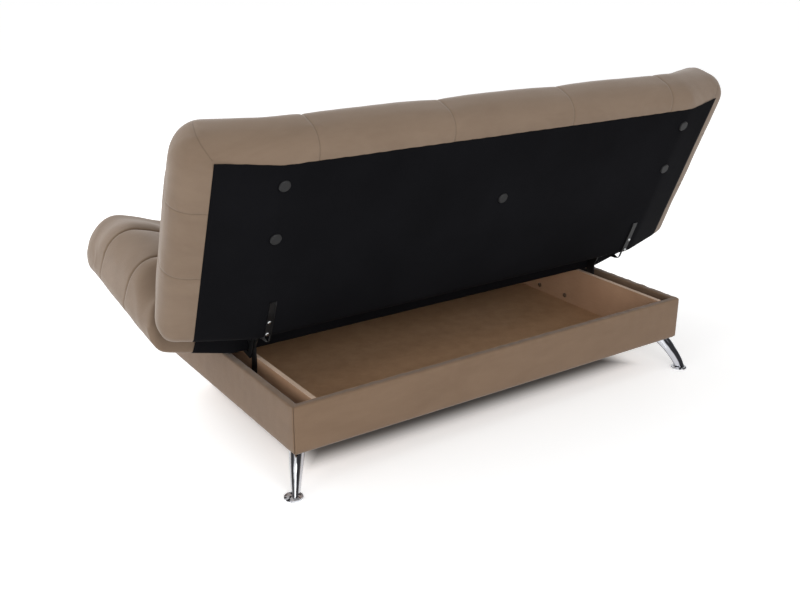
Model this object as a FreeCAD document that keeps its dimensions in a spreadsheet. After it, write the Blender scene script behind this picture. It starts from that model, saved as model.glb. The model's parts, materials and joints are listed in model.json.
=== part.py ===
import FreeCAD, Part
import os
from math import atan2, cos, radians, sin, sqrt

import Sketcher
from FreeCAD import Placement, Rotation, Vector

# Storage sofa bed with a click-clack hinge, in millimetres.
# X runs along the sofa, -Y is the sitting side, Z is up from the floor.
# The seat and the back are the same winged panel, hinged on one line.

doc = FreeCAD.newDocument("StorageSofa")
sheet = doc.addObject("Spreadsheet::Sheet", "Sizes")

VALUES = {
    "cut_margin": 1,
    "round_sides": 24,
    "bolt_sides": 12,
    # storage box
    "box_length": 1600,
    "box_depth": 900,
    "box_rear_y": 530.2,
    "rail_bottom_z": 121,
    "rail_height": 153,
    "rail_thickness": 25,
    "rail_edge_radius": 5,
    "partition_thickness": 15,
    "well_width": 49,
    "floor_thickness": 4,
    "floor_rebate": 10,
    "batten_width": 45,
    "batten_thickness": 18,
    "batten_x": 260,
    "batten_end_gap": 24,
    "block_side": 44,
    "block_height": 40,
    # legs
    "leg_plate_thickness": 3,
    "leg_plate_side": 58,
    "leg_top_side": 48,
    "leg_knee_side": 40,
    "leg_shin_side": 28,
    "leg_ankle_side": 16,
    "leg_knee_drop": 21,
    "leg_shin_drop": 58,
    "leg_fold": 0.42,
    "leg_knee_out": 11,
    "leg_shin_out": 20,
    "leg_ankle_out": 24,
    "leg_ridge_cut": 2,
    "leg_inset": 3,
    "front_leg_inset": 71,
    "glide_radius": 28.5,
    "glide_height": 9,
    "glide_rim": 3,
    "glide_boss": 11,
    "glide_bevel": 1,
    "glide_slope": 5,
    "glide_back": 5,
    # hinge line and poses
    "hinge_forward": 364,
    "hinge_z": 377,
    "seat_tilt": 9.3,
    "back_lean": 21.75,
    # winged panels
    "seat_lift": 24,
    "fold_clearance": 0.8,
    "hinge_drop": 100,
    "hinge_gap": 36,
    "panel_reach": 745,
    "crease_x": 785,
    "wing_angle": 15,
    "seat_wing_reach": 268,
    "back_wing_reach": 286,
    "seat_corner_radius": 190,
    "back_corner_radius": 220,
    "plan_margin": 6,
    "hinge_corner_radius": 45,
    "pad_thickness": 165,
    "pad_crown": 4,
    "seam_depth": 11,
    "column_seam_depth": 13,
    "end_row_rise": 6,
    "wing_slope_radius": 1500,
    "end_radius": 75,
    "outer_low_radius": 70,
    "outer_high_radius": 60,
    "hinge_high_radius": 70,
    "seat_low_radius": 8,
    "back_low_radius": 40,
    "inner_seam_x": 232,
    "outer_seam_x": 680,
    "wing_blend": 125,
    "seat_outer_row": 195,
    "seat_hinge_row": 169,
    "back_outer_row": 175,
    "back_hinge_row": 184,
    # panel frames
    "frame_height": 45,
    "frame_rail": 22,
    "frame_inset": 85,
    "seat_frame_inner": 48,
    "back_frame_inner": 92,
    "deck_thickness": 5,
    "wing_board": 18,
    "wing_board_start": 6,
    "wing_board_edge": 6,
    "frame_clearance": 0.3,
    "cover_thickness": 1,
    "seat_cover_reach": 142,
    "back_cover_reach": 182,
    "cover_inset": 77,
    "seat_cover_inner": 44,
    "back_cover_inner": 88,
    # round caps on the back
    "cap_radius": 17.5,
    "cap_height": 6,
    "cap_edge": 2.5,
    "cap_x": 775,
    "cap_inset": 142,
    "cap_spacing": 175,
    "cap_middle_x": -30,
    # click-clack hinges
    "arm_thickness": 5,
    "arm_width": 28,
    "arm_neck": 12,
    "arm_jog": 20,
    "arm_jog_radius": 48,
    "arm_bend_radius": 100,
    "arm_level_z": 150,
    "arm_foot": 185,
    "arm_tip_cut": 6,
    "arm_boss_radius": 19,
    "plate_thickness": 4,
    "plate_gap": 0.5,
    "plate_inner": 5,
    "plate_outer": 32,
    "plate_drop": 18,
    "plate_reach": 195,
    "plate_corner": 14,
    "plate_neck": 17,
    "plate_shoulder": 13,
    "flange_width": 22,
    "flange_thickness": 3,
    "flange_start": 62,
    "ratchet_tip_radius": 33,
    "ratchet_depth": 4.5,
    "ratchet_root": 0.4,
    "ratchet_ramp": 3.8,
    "ratchet_stop": 1.1,
    "ratchet_teeth": 12,
    "ratchet_sweep": 110,
    "ratchet_first": -112,
    "pawl_pivot_u": 25,
    "pawl_pivot_drop": 54,
    "pawl_boss_radius": 6.5,
    "pawl_width": 9,
    "pawl_nose": 3,
    "pawl_tip_u": 11,
    "pawl_clearance": 1.5,
    "pivot_radius": 5,
    "pivot_clearance": 0.05,
    "pivot_head_radius": 9,
    "pivot_head": 4,
    "nut_flats": 17,
    "nut_height": 6,
    "bolt_radius": 4,
    "bolt_head_radius": 9,
    "bolt_head": 3.5,
    "bolt_nut_flats": 13,
    "bolt_nut_height": 5,
    "bolt_a_reach": 136,
    "bolt_b_reach": 286,
}

for row, (name, value) in enumerate(VALUES.items(), start=1):
    sheet.set("A%d" % row, name)
    sheet.set("B%d" % row, repr(value))
    sheet.setAlias("B%d" % row, name)
doc.recompute()


class Size:
    """A number that keeps the formula it came from."""

    def __init__(self, value, text):
        self.value = float(value)
        self.text = text

    def __add__(self, other):
        other = sized(other)
        return Size(self.value + other.value, "(%s + %s)" % (self.text, other.text))

    def __sub__(self, other):
        other = sized(other)
        return Size(self.value - other.value, "(%s - %s)" % (self.text, other.text))

    def __mul__(self, other):
        other = sized(other)
        return Size(self.value * other.value, "(%s * %s)" % (self.text, other.text))

    def __truediv__(self, other):
        other = sized(other)
        return Size(self.value / other.value, "(%s / %s)" % (self.text, other.text))

    def __radd__(self, other):
        return sized(other) + self

    def __rsub__(self, other):
        return sized(other) - self

    def __rmul__(self, other):
        return sized(other) * self

    def __neg__(self):
        return Size(-self.value, "(-1 * %s)" % self.text)


def sized(value):
    """A plain number as a Size."""
    return value if isinstance(value, Size) else Size(value, repr(float(value)))


def size(name):
    """A named size from the sheet."""
    return Size(VALUES[name], "Sizes." + name)


def cosine(angle):
    return Size(cos(radians(angle.value)), "cos(%s)" % angle.text)


def sine(angle):
    return Size(sin(radians(angle.value)), "sin(%s)" % angle.text)


def tangent(angle):
    return sine(angle) / cosine(angle)


def root(length):
    return Size(sqrt(length.value), "sqrt(%s)" % length.text)


# Derived places, all from the named sizes.
half_length = size("box_length") / 2
rear_y = size("box_rear_y")
front_y = rear_y - size("box_depth")
rail_low = size("rail_bottom_z")
rail_top = rail_low + size("rail_height")
well_outer = half_length - size("rail_thickness")
well_inner = well_outer - size("well_width")
margin = size("cut_margin")
hinge_y = rear_y - size("hinge_forward")
hinge_z = size("hinge_z")
drop = size("hinge_drop")
wing_cos = cosine(size("wing_angle"))
wing_sin = sine(size("wing_angle"))


def bind(target, path, length):
    """Ties one property to its formula."""
    target.setExpression(path, length.text)


def new_body(name, base=None, axis=None, angle=None):
    """An empty body, placed at base and turned by angle about axis."""
    body = doc.addObject("PartDesign::Body", name)
    body.Label = name
    place(body, base, axis, angle)
    return body


def place(target, base=None, axis=None, angle=None):
    """Gives a piece its place, tied to the sheet."""
    turn = Rotation(axis, angle.value) if axis is not None else Rotation()
    spot = Vector(*[sized(value).value for value in base]) if base else Vector()
    target.Placement = Placement(spot, turn)
    if base:
        for key, value in zip("xyz", base):
            bind(target, "Placement.Base." + key, sized(value))
    if angle is not None:
        bind(target, "Placement.Rotation.Angle", angle)


def origin_plane(body, role):
    """One of the body's own origin planes or axes."""
    for feature in body.Origin.OriginFeatures:
        if feature.Role == role:
            return feature
    raise ValueError(role)


def new_sketch(body, plane, offset, name):
    """A sketch on an origin plane, moved along its normal by offset."""
    sketch = body.newObject("Sketcher::SketchObject", name)
    sketch.AttachmentSupport = [(origin_plane(body, plane + "_Plane"), "")]
    sketch.MapMode = "FlatFace"
    if offset is not None:
        offset = sized(offset)
        sketch.AttachmentOffset = Placement(Vector(0, 0, offset.value), Rotation())
        bind(sketch, "AttachmentOffset.Base.z", offset)
    return sketch


def pin_point(sketch, geometry, end, spot):
    """Fixes a point of the sketch at its two coordinates."""
    for kind, axis, value in (("DistanceX", -2, sized(spot[0])), ("DistanceY", -1, sized(spot[1]))):
        if abs(value.value) < 1e-9:
            sketch.addConstraint(Sketcher.Constraint("PointOnObject", geometry, end, axis))
            continue
        index = sketch.addConstraint(Sketcher.Constraint(kind, geometry, end, value.value))
        label = "%s%d_%d" % (kind, geometry, end)
        sketch.renameConstraint(index, label)
        bind(sketch, "Constraints." + label, value)


def draw_outline(sketch, corners):
    """Closed outline. A corner is (across, up) or (across, up, radius, bend).

    Radius and bend shape the side that leaves the corner: an arc that swells
    to the left of the way it is drawn for bend 1, to the right for bend -1.
    """
    ends = []
    count = len(corners)
    for index, corner in enumerate(corners):
        following = corners[(index + 1) % count]
        start = Vector(sized(corner[0]).value, sized(corner[1]).value, 0)
        stop = Vector(sized(following[0]).value, sized(following[1]).value, 0)
        if len(corner) == 2:
            geometry = sketch.addGeometry(Part.LineSegment(start, stop), False)
            ends.append((geometry, 1, 2))
            continue
        radius, bend = sized(corner[2]), corner[3]
        chord = stop - start
        across = Vector(-chord.y, chord.x, 0).normalize() * bend
        depth = sqrt(max(radius.value ** 2 - chord.Length ** 2 / 4, 0))
        centre = (start + stop) * 0.5 - across * depth
        first, second = (start, stop) if bend < 0 else (stop, start)
        low = atan2(first.y - centre.y, first.x - centre.x)
        high = atan2(second.y - centre.y, second.x - centre.x)
        circle = Part.Circle(centre, Vector(0, 0, 1), radius.value)
        geometry = sketch.addGeometry(Part.ArcOfCircle(circle, low, high), False)
        ends.append((geometry, 1, 2) if bend < 0 else (geometry, 2, 1))
        number = sketch.addConstraint(Sketcher.Constraint("Radius", geometry, radius.value))
        label = "Radius%d" % geometry
        sketch.renameConstraint(number, label)
        bind(sketch, "Constraints." + label, radius)
    for index in range(count):
        here, after = ends[index], ends[(index + 1) % count]
        sketch.addConstraint(Sketcher.Constraint("Coincident", here[0], here[2], after[0], after[1]))
        pin_point(sketch, here[0], here[1], corners[index])


def draw_circle(sketch, centre, radius):
    """A circle held by its centre and radius."""
    radius = sized(radius)
    spot = Vector(sized(centre[0]).value, sized(centre[1]).value, 0)
    geometry = sketch.addGeometry(Part.Circle(spot, Vector(0, 0, 1), radius.value), False)
    number = sketch.addConstraint(Sketcher.Constraint("Radius", geometry, radius.value))
    label = "Radius%d" % geometry
    sketch.renameConstraint(number, label)
    bind(sketch, "Constraints." + label, radius)
    pin_point(sketch, geometry, 3, centre)


def pad(body, sketch, length, flip=False, name="Pad"):
    """Raises a sketch into a solid."""
    feature = body.newObject("PartDesign::Pad", body.Name + name)
    feature.Profile = sketch
    feature.Reversed = flip
    feature.Length = sized(length).value
    bind(feature, "Length", sized(length))
    return feature


def pocket(body, sketch, length, flip=False, name="Pocket"):
    """Sinks a sketch into the body and makes sure that it cut."""
    doc.recompute()
    before = body.Shape.Volume
    feature = body.newObject("PartDesign::Pocket", body.Name + name)
    feature.Profile = sketch
    feature.Reversed = flip
    feature.Length = sized(length).value
    bind(feature, "Length", sized(length))
    doc.recompute()
    if body.Shape.Volume > before - 0.01:
        raise ValueError("%s%s cut nothing" % (body.Name, name))
    return feature


def fillet(body, radius, chosen):
    """Rounds the edges for which chosen(edge) is true."""
    doc.recompute()
    base = body.Tip
    names = ["Edge%d" % (i + 1) for i, edge in enumerate(base.Shape.Edges) if chosen(edge)]
    if not names:
        raise ValueError("no edge to round on " + body.Name)
    feature = body.newObject("PartDesign::Fillet", body.Name + "Fillet")
    feature.Base = (base, names)
    feature.Radius = radius.value
    bind(feature, "Radius", radius)
    return feature


def block(name, x_range, y_range, z_range, pose=None):
    """A plain board between three pairs of limits."""
    body = new_body(name, *(pose or ()))
    sketch = new_sketch(body, "XY", z_range[0], name + "Outline")
    x_low, x_high = x_range
    y_low, y_high = y_range
    draw_outline(sketch, [(x_low, y_low), (x_high, y_low), (x_high, y_high), (x_low, y_high)])
    pad(body, sketch, sized(z_range[1]) - sized(z_range[0]))
    return body


def polygon(centre, reach, sides):
    """Corners of a regular polygon from its centre to corner reach."""
    corners = []
    for step in range(sides):
        turn = sized(360 * step / sides)
        corners.append((sized(centre[0]) + reach * cosine(turn), sized(centre[1]) + reach * sine(turn)))
    return corners


def hexagon(centre, flats):
    """Corners of a hexagon given across its flats."""
    return polygon(centre, sized(flats) / root(sized(3)), 6)


def stacked(body, centre, sides, levels):
    """A small turned piece as a ruled loft: (height, radius) at each level."""
    rings = []
    for number, (height, radius) in enumerate(levels):
        ring = new_sketch(body, "XY", height, "%sRing%d" % (body.Name, number))
        draw_outline(ring, polygon(centre, radius, sides))
        rings.append(ring)
    loft = body.newObject("PartDesign::AdditiveLoft", body.Name + "Loft")
    loft.Profile = rings[0]
    loft.Sections = rings[1:]
    loft.Ruled = True
    return body


parts = []


def keep(piece):
    parts.append(piece)
    return piece


# Storage box: four upholstered rails with mitred corners, rebated for the floor.
def box_rail(name, plan, rebate):
    body = new_body(name)
    sketch = new_sketch(body, "XY", rail_low, name + "Plan")
    draw_outline(sketch, plan)
    pad(body, sketch, size("rail_height"))
    cut = new_sketch(body, "XY", rail_low, name + "Rebate")
    draw_outline(cut, rebate)
    pocket(body, cut, size("floor_thickness"), flip=True)
    outer = [(sized(corner[0]).value, sized(corner[1]).value) for corner in plan[:2]]

    def top_outer(edge):
        middle = edge.CenterOfMass
        if abs(middle.z - rail_top.value) > 0.01 or abs(edge.BoundBox.ZLength) > 0.01:
            return False
        along_x = abs(outer[0][1] - outer[1][1]) < 0.01
        if along_x:
            return abs(middle.y - outer[0][1]) < 0.01
        return abs(middle.x - outer[0][0]) < 0.01

    fillet(body, size("rail_edge_radius"), top_outer)
    return keep(body)


thick = size("rail_thickness")
lip = size("floor_rebate")
inner_rear = rear_y - thick
inner_front = front_y + thick
box_rail(
    "rear_rail",
    [(-half_length, rear_y), (half_length, rear_y), (well_outer, inner_rear), (-well_outer, inner_rear)],
    [
        (-well_outer - lip, inner_rear + lip),
        (-well_outer, inner_rear - margin),
        (well_outer, inner_rear - margin),
        (well_outer + lip, inner_rear + lip),
    ],
)
box_rail(
    "front_rail",
    [(-half_length, front_y), (half_length, front_y), (well_outer, inner_front), (-well_outer, inner_front)],
    [
        (-well_outer - lip, inner_front - lip),
        (-well_outer, inner_front + margin),
        (well_outer, inner_front + margin),
        (well_outer + lip, inner_front - lip),
    ],
)
for side, end in ((1, "left"), (-1, "right")):
    outer_x, inner_x = half_length * side, well_outer * side
    box_rail(
        "side_rail_" + end,
        [(outer_x, front_y), (outer_x, rear_y), (inner_x, inner_rear), (inner_x, inner_front)],
        [
            (inner_x + lip * side, inner_front - lip),
            (inner_x + lip * side, inner_rear + lip),
            (inner_x - margin * side, inner_rear - margin),
            (inner_x - margin * side, inner_front + margin),
        ],
    )
    partition_x = (well_inner - size("partition_thickness")) * side
    board = keep(block(
        "partition_" + end,
        (partition_x, well_inner * side),
        (inner_front, inner_rear),
        (rail_low + size("floor_thickness"), rail_top),
    ))
    holes = new_sketch(board, "YZ", partition_x, board.Name + "Holes")
    for reach in ("bolt_a_reach", "bolt_b_reach"):
        spot = (hinge_y - size(reach), size("arm_level_z"))
        draw_outline(holes, polygon(spot, size("bolt_radius"), VALUES["bolt_sides"]))
    pocket(board, holes, size("partition_thickness"), flip=side > 0)
    batten_x = size("batten_x") * side
    keep(block(
        "floor_batten_" + end,
        (batten_x - size("batten_width") / 2, batten_x + size("batten_width") / 2),
        (front_y + size("batten_end_gap"), rear_y - size("batten_end_gap")),
        (rail_low - size("batten_thickness"), rail_low),
    ))

floor_x = well_outer + lip
keep(block(
    "floor_panel",
    (-floor_x, floor_x),
    (inner_front - lip, inner_rear + lip),
    (rail_low, rail_low + size("floor_thickness")),
))


# Legs: a curved chrome leg with a ridge that faces out of the corner.
def leg(name, corner_x, corner_y, out_x, out_y):
    """A leg whose ridge starts at the corner and leans out of it."""
    top = rail_low - size("leg_plate_thickness")
    body = new_body(name)
    plate = new_sketch(body, "XY", top, name + "Plate")
    inset = size("leg_inset")
    side = size("leg_plate_side")
    near_x, near_y = corner_x - inset * out_x, corner_y - inset * out_y
    draw_outline(plate, [(near_x, near_y), (near_x - side * out_x, near_y), (near_x, near_y - side * out_y)])
    pad(body, plate, size("leg_plate_thickness"))
    low = size("glide_height")
    stations = (
        (top, sized(0), size("leg_top_side")),
        (top - size("leg_knee_drop"), size("leg_knee_out"), size("leg_knee_side")),
        (top - size("leg_shin_drop"), size("leg_shin_out"), size("leg_shin_side")),
        (low, size("leg_ankle_out"), size("leg_ankle_side")),
    )
    sketches = []
    for number, (level, out, width) in enumerate(stations):
        section = new_sketch(body, "XY", level, "%sSection%d" % (name, number))
        tip_x, tip_y = near_x + out * out_x, near_y + out * out_y
        waist = width * size("leg_fold")
        blunt = size("leg_ridge_cut")
        corners = [
            (tip_x - blunt * out_x, tip_y),
            (tip_x - width * out_x, tip_y),
            (tip_x - waist * out_x, tip_y - waist * out_y),
            (tip_x, tip_y - width * out_y),
            (tip_x, tip_y - blunt * out_y),
        ]
        draw_outline(section, corners)
        sketches.append(section)
    loft = body.newObject("PartDesign::AdditiveLoft", name + "Loft")
    loft.Profile = sketches[0]
    loft.Sections = sketches[1:]
    loft.Ruled = True
    keep(body)

    # Round foot under the leg: a rim, a sloped top and a flat for the ankle.
    reach = size("leg_ankle_out") - size("glide_back")
    foot_x, foot_y = near_x + reach * out_x, near_y + reach * out_y
    foot = new_body(name.replace("leg", "foot"), (foot_x, foot_y, 0))
    rim, wide, bevel = size("glide_rim"), size("glide_radius"), size("glide_bevel")
    boss, tall = size("glide_boss"), size("glide_height")
    stacked(foot, (0, 0), VALUES["round_sides"], [
        (0, wide - bevel),
        (bevel, wide),
        (rim + bevel, wide),
        (rim + bevel * 2, wide - bevel),
        (tall - bevel, boss + size("glide_slope")),
        (tall, boss),
    ])
    keep(foot)


block_top = rail_low + size("floor_thickness") + size("block_height")
for side, end in ((1, "left"), (-1, "right")):
    leg("leg_rear_" + end, half_length * side, rear_y, side, 1)
    keep(block(
        "corner_block_rear_" + end,
        ((well_outer - size("block_side")) * side, well_outer * side),
        (inner_rear - size("block_side"), inner_rear),
        (rail_low + size("floor_thickness"), block_top),
    ))
    leg_x = (well_inner - size("partition_thickness") - size("front_leg_inset")) * side
    leg("leg_front_" + end, leg_x, front_y, side, -1)
    keep(block(
        "leg_block_front_" + end,
        (leg_x - size("block_side") * side, leg_x),
        (inner_front, inner_front + size("block_side")),
        (rail_low + size("floor_thickness"), block_top),
    ))


# Panel coordinates: across is X, reach runs away from the hinge line,
# height is measured from the underside; the hinge line is at the origin.
seat_pose = ((0, hinge_y, hinge_z), Vector(1, 0, 0), -size("seat_tilt"))
back_pose = ((0, hinge_y, hinge_z), Vector(1, 0, 0), 90 - size("back_lean"))


def wing_point(side, reach, height):
    """A place on a wing, from its reach past the crease and its height."""
    across = size("crease_x") + reach * wing_cos - height * wing_sin
    return across * side, reach * wing_sin + height * wing_cos - drop


def arc_radius(chord, rise):
    """Radius of an arc from its chord and its rise."""
    return (chord * chord / 4 + rise * rise) / (rise * 2)


def long_profile(body, name, way, reach):
    """Front view of the padded panel: five channelled columns and two wings."""
    start = size("hinge_gap") - margin
    sketch = new_sketch(body, "XZ", start * -way, name + "Front")
    high = size("pad_thickness") + size("pad_crown")
    dip = size("pad_thickness") - size("column_seam_depth")
    rise = size("column_seam_depth") + size("pad_crown")
    turn = size("end_radius")
    flat = reach - turn
    inner, outer = size("inner_seam_x"), size("outer_seam_x")
    blend = size("wing_blend")
    right = []
    left = []
    for side, store in ((1, right), (-1, left)):
        store.append((size("crease_x") * side, -drop))
        store.append(wing_point(side, flat, sized(0)))
        store.append(wing_point(side, reach, turn))
        store.append(wing_point(side, reach, high - turn))
        store.append(wing_point(side, flat, high))
        store.append(wing_point(side, blend, high))
        store.append((outer * side, dip - drop))
        store.append((inner * side, dip - drop))
    slope = size("wing_slope_radius")
    column = arc_radius(outer - inner, rise)
    middle = arc_radius(inner * 2, rise)
    corners = [
        right[0],
        right[1] + (turn, -1),
        right[2],
        right[3] + (turn, -1),
        right[4],
        right[5] + (slope, 1),
        right[6] + (column, -1),
        right[7] + (middle, -1),
        left[7] + (column, -1),
        left[6] + (slope, 1),
        left[5],
        left[4] + (turn, -1),
        left[3],
        left[2] + (turn, -1),
        left[1],
        left[0],
    ]
    draw_outline(sketch, corners)
    pad(body, sketch, size("panel_reach") + margin - start, flip=way > 0, name="Front")


def side_profile(body, name, way, low_radius, base):
    """Side view of the padded panel: rounded ends and the rows between seams."""
    sketch = new_sketch(body, "YZ", None, name + "Side")
    near, far = size("hinge_gap"), size("panel_reach")
    tall, dip = size("pad_thickness"), size("pad_thickness") - size("seam_depth")
    low_far, high_far = size("outer_low_radius"), size("outer_high_radius")
    high_near = size("hinge_high_radius")
    places = [
        (near + low_radius, sized(0), None),
        (far - low_far, sized(0), low_far),
        (far, low_far, None),
        (far, tall - high_far, high_far),
        (far - high_far, tall, None),
    ]
    panel = name.split("_")[0]
    first, last = size(panel + "_outer_row"), size(panel + "_hinge_row")
    outer_seam, hinge_seam = far - high_far - first, near + high_near + last
    end_rise = size("end_row_rise")
    places[-1] = (far - high_far, tall, arc_radius(first, end_rise))
    places.append((outer_seam, dip, arc_radius(outer_seam - hinge_seam, size("seam_depth"))))
    places.append((hinge_seam, dip, arc_radius(last, end_rise)))
    places.append((near + high_near, tall, high_near))
    places.append((near, tall - high_near, None))
    places.append((near, low_radius, low_radius))
    corners = []
    for reach, height, radius in places:
        corner = (reach * way, height - base)
        corners.append(corner if radius is None else corner + (radius, -way))
    draw_outline(sketch, corners)
    return sketch


def plan_outline(body, name, way, reach):
    """Plan of the padded panel, with rounded corners."""
    sketch = new_sketch(body, "XY", -drop - margin, name + "Plan")
    turn, spare = size("end_radius"), size("plan_margin")
    end_x = size("crease_x") + (reach - turn) * wing_cos - turn * wing_sin + turn + spare
    near, far = size("hinge_gap") - spare, size("panel_reach") + spare
    wide, narrow = size(name + "_corner_radius"), size("hinge_corner_radius")
    corners = [
        (narrow - end_x, near * way),
        (end_x - narrow, near * way, narrow, -way),
        (end_x, (near + narrow) * way),
        (end_x, (far - wide) * way, wide, -way),
        (end_x - wide, far * way),
        (wide - end_x, far * way, wide, -way),
        (-end_x, (far - wide) * way),
        (-end_x, (near + narrow) * way, narrow, -way),
    ]
    draw_outline(sketch, corners)
    pad(body, sketch, size("pad_thickness") + size("pad_crown") + reach, name="Plan")


def fold_wedge(name, way, reach):
    """Room that lets the seat fold up against the back, cut from the wings."""
    fold = (90 - size("back_lean") + size("seat_tilt") + size("seat_lift")) / 2
    start = size("fold_clearance") / cosine(fold)
    tall = size("pad_thickness") + size("pad_crown")
    half = size("crease_x") + reach
    wedge = new_body(name + "_fold_wedge", (-half, 0, 0))
    sketch = new_sketch(wedge, "YZ", None, name + "Fold")
    draw_outline(sketch, [
        (start * way, sized(0)),
        ((start + tall * tangent(fold)) * way, tall),
        (start * way, tall),
    ])
    pad(wedge, sketch, half * 2)
    return wedge


def mitre(body, name, way, base, across, lean):
    """Cuts one end of the rows along the plane that centre and wing share."""
    sketch = new_sketch(body, "XZ", (size("hinge_gap") - margin) * -way, name)
    slope = tangent(size("wing_angle") / 2)
    tall = size("pad_thickness") + margin
    draw_outline(sketch, [
        (across - margin * slope * lean, -base - margin),
        (across + tall * slope * lean, tall - base),
        (across - margin * lean, tall - base),
        (across - margin * lean, -base - margin),
    ])
    span = size("panel_reach") - size("hinge_gap") + margin * 2
    pocket(body, sketch, span, flip=way < 0, name=name)


def padded_panel(name, pose, way, low_radius, frame_inner, wing_reach):
    """Cushioned cover of one panel, hollow below for its frame."""
    front = new_body(name + "_front_form")
    long_profile(front, name, way, wing_reach)
    plan = new_body(name + "_plan_form")
    plan_outline(plan, name, way, wing_reach)
    sides = []
    centre = new_body(name + "_centre_form", (-size("crease_x"), 0, 0))
    sketch = side_profile(centre, name + "_centre", way, low_radius, drop)
    pad(centre, sketch, size("crease_x") * 2)
    mitre(centre, name + "MitreA", way, drop, sized(0), 1)
    mitre(centre, name + "MitreB", way, drop, size("crease_x") * 2, -1)
    sides.append(centre)
    for side in (1, -1):
        tag = "left" if side > 0 else "right"
        wing = new_body(
            "%s_%s_wing_form" % (name, tag),
            (size("crease_x") * side, 0, -drop),
            Vector(0, 1, 0),
            size("wing_angle") * -side,
        )
        sketch = side_profile(wing, name + "_" + tag, way, low_radius, sized(0))
        pad(wing, sketch, wing_reach + size("pad_thickness"), flip=side < 0)
        mitre(wing, name + tag + "Mitre", way, sized(0), sized(0), side)
        sides.append(wing)
    joined = doc.addObject("Part::MultiFuse", name + "_rows")
    joined.Shapes = sides
    joined.Refine = False
    both = doc.addObject("Part::MultiCommon", name + "_pad")
    both.Shapes = [front, joined, plan]
    both.Refine = False
    gap = size("frame_clearance")
    near, far = frame_inner - gap, size("panel_reach") - size("frame_inset") + gap
    deep = size("frame_height") + size("deck_thickness") + gap
    hollows = [block(
        name + "_centre_hollow",
        (-size("crease_x") - gap, size("crease_x") + gap),
        (near * way, far * way),
        (-drop - margin, deep - drop),
    ), fold_wedge(name, way, wing_reach)]
    for side in (1, -1):
        tag = "left" if side > 0 else "right"
        hollow = new_body(
            "%s_%s_wing_hollow" % (name, tag),
            (size("crease_x") * side, 0, -drop),
            Vector(0, 1, 0),
            size("wing_angle") * -side,
        )
        sketch = new_sketch(hollow, "XZ", near * -way, hollow.Name + "End")
        reach = (board_reach(name) + gap) * side
        roof = size("wing_board") + gap
        draw_outline(sketch, [(0, -margin), (reach, -margin), (reach, roof), (0, roof)])
        pad(hollow, sketch, far - near, flip=way > 0)
        hollows.append(hollow)
    empty = doc.addObject("Part::MultiFuse", name + "_hollow")
    empty.Shapes = hollows
    empty.Refine = False
    cushion = doc.addObject("Part::Cut", name + "_cushion")
    cushion.Base = both
    cushion.Tool = empty
    cushion.Refine = False
    cushion.Label = name + "_cushion"
    place(cushion, *pose)
    return keep(cushion)


def board_reach(name):
    """How far a wing board runs past the crease, inside the black cover."""
    return size(name + "_cover_reach") - size("wing_board_edge")


def panel_frame(name, pose, way, frame_inner, cover_inner):
    """Wooden frame, deck, wing boards and dust cover of one panel."""
    tall, rail = size("frame_height"), size("frame_rail")
    near, far = frame_inner, size("panel_reach") - size("frame_inset")
    side_x = size("crease_x")
    low = -drop
    for label, start, stop in (("hinge_rail", near, near + rail), ("outer_rail", far - rail, far)):
        keep(block(
            "%s_%s" % (name, label),
            (rail - side_x, side_x - rail),
            (start * way, stop * way),
            (low, low + tall),
            pose,
        ))
    keep(block(
        name + "_deck",
        (-side_x, side_x),
        (near * way, far * way),
        (low + tall, low + tall + size("deck_thickness")),
        pose,
    ))
    for side, end in ((1, "left"), (-1, "right")):
        keep(block(
            "%s_side_rail_%s" % (name, end),
            ((side_x - rail) * side, side_x * side),
            (near * way, far * way),
            (low, low + tall),
            pose,
        ))
        board = new_body("%s_wing_board_%s" % (name, end), *pose)
        sketch = new_sketch(board, "XZ", near * -way, board.Name + "End")
        start, reach, deep = size("wing_board_start"), board_reach(name), size("wing_board")
        draw_outline(sketch, [
            wing_point(side, start, sized(0)),
            wing_point(side, reach, sized(0)),
            wing_point(side, reach, deep),
            wing_point(side, start, deep),
        ])
        pad(board, sketch, far - near, flip=way > 0)
        keep(board)
    cover = new_body(name + "_dust_cover", *pose)
    sketch = new_sketch(cover, "XZ", cover_inner * -way, name + "CoverEnd")
    skin, edge = size("cover_thickness"), size(name + "_cover_reach")
    bend = skin * tangent(size("wing_angle") / 2)
    draw_outline(sketch, [
        wing_point(-1, edge, sized(0)),
        wing_point(-1, edge, -skin),
        (-size("crease_x") - bend, low - skin),
        (size("crease_x") + bend, low - skin),
        wing_point(1, edge, -skin),
        wing_point(1, edge, sized(0)),
        (size("crease_x"), low),
        (-size("crease_x"), low),
    ])
    pad(cover, sketch, size("panel_reach") - size("cover_inset") - cover_inner, flip=way > 0)
    keep(cover)


for name, pose, way in (("seat", seat_pose, -1), ("back", back_pose, 1)):
    frame_inner = size(name + "_frame_inner")
    panel_frame(name, pose, way, frame_inner, size(name + "_cover_inner"))
    padded_panel(name, pose, way, size(name + "_low_radius"), frame_inner, size(name + "_wing_reach"))


# Round caps pressed against the black cover of the back.
def cap(name, across, reach):
    body = new_body(name, *back_pose)
    face = -drop - size("cover_thickness")
    tall, edge, wide = size("cap_height"), size("cap_edge"), size("cap_radius")
    stacked(body, (across, reach), VALUES["round_sides"], [
        (face, wide),
        (face - tall + edge, wide),
        (face - tall, wide - edge),
    ])
    return keep(body)


cap_high = size("panel_reach") - size("cap_inset")
cap_low = cap_high - size("cap_spacing")
for side, end in ((1, "left"), (-1, "right")):
    cap("back_cap_low_" + end, size("cap_x") * side, cap_low)
    cap("back_cap_high_" + end, size("cap_x") * side, cap_high)
cap("back_cap_middle", size("cap_middle_x"), cap_low)


# Click-clack hinges, one in each well between the side rail and the partition.
arm_x = well_inner
seat_plate_x = arm_x + size("arm_thickness") + size("plate_gap")
back_plate_x = seat_plate_x + size("plate_thickness") + size("plate_gap")
nut_x = back_plate_x + size("plate_thickness") + size("plate_gap")


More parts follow.
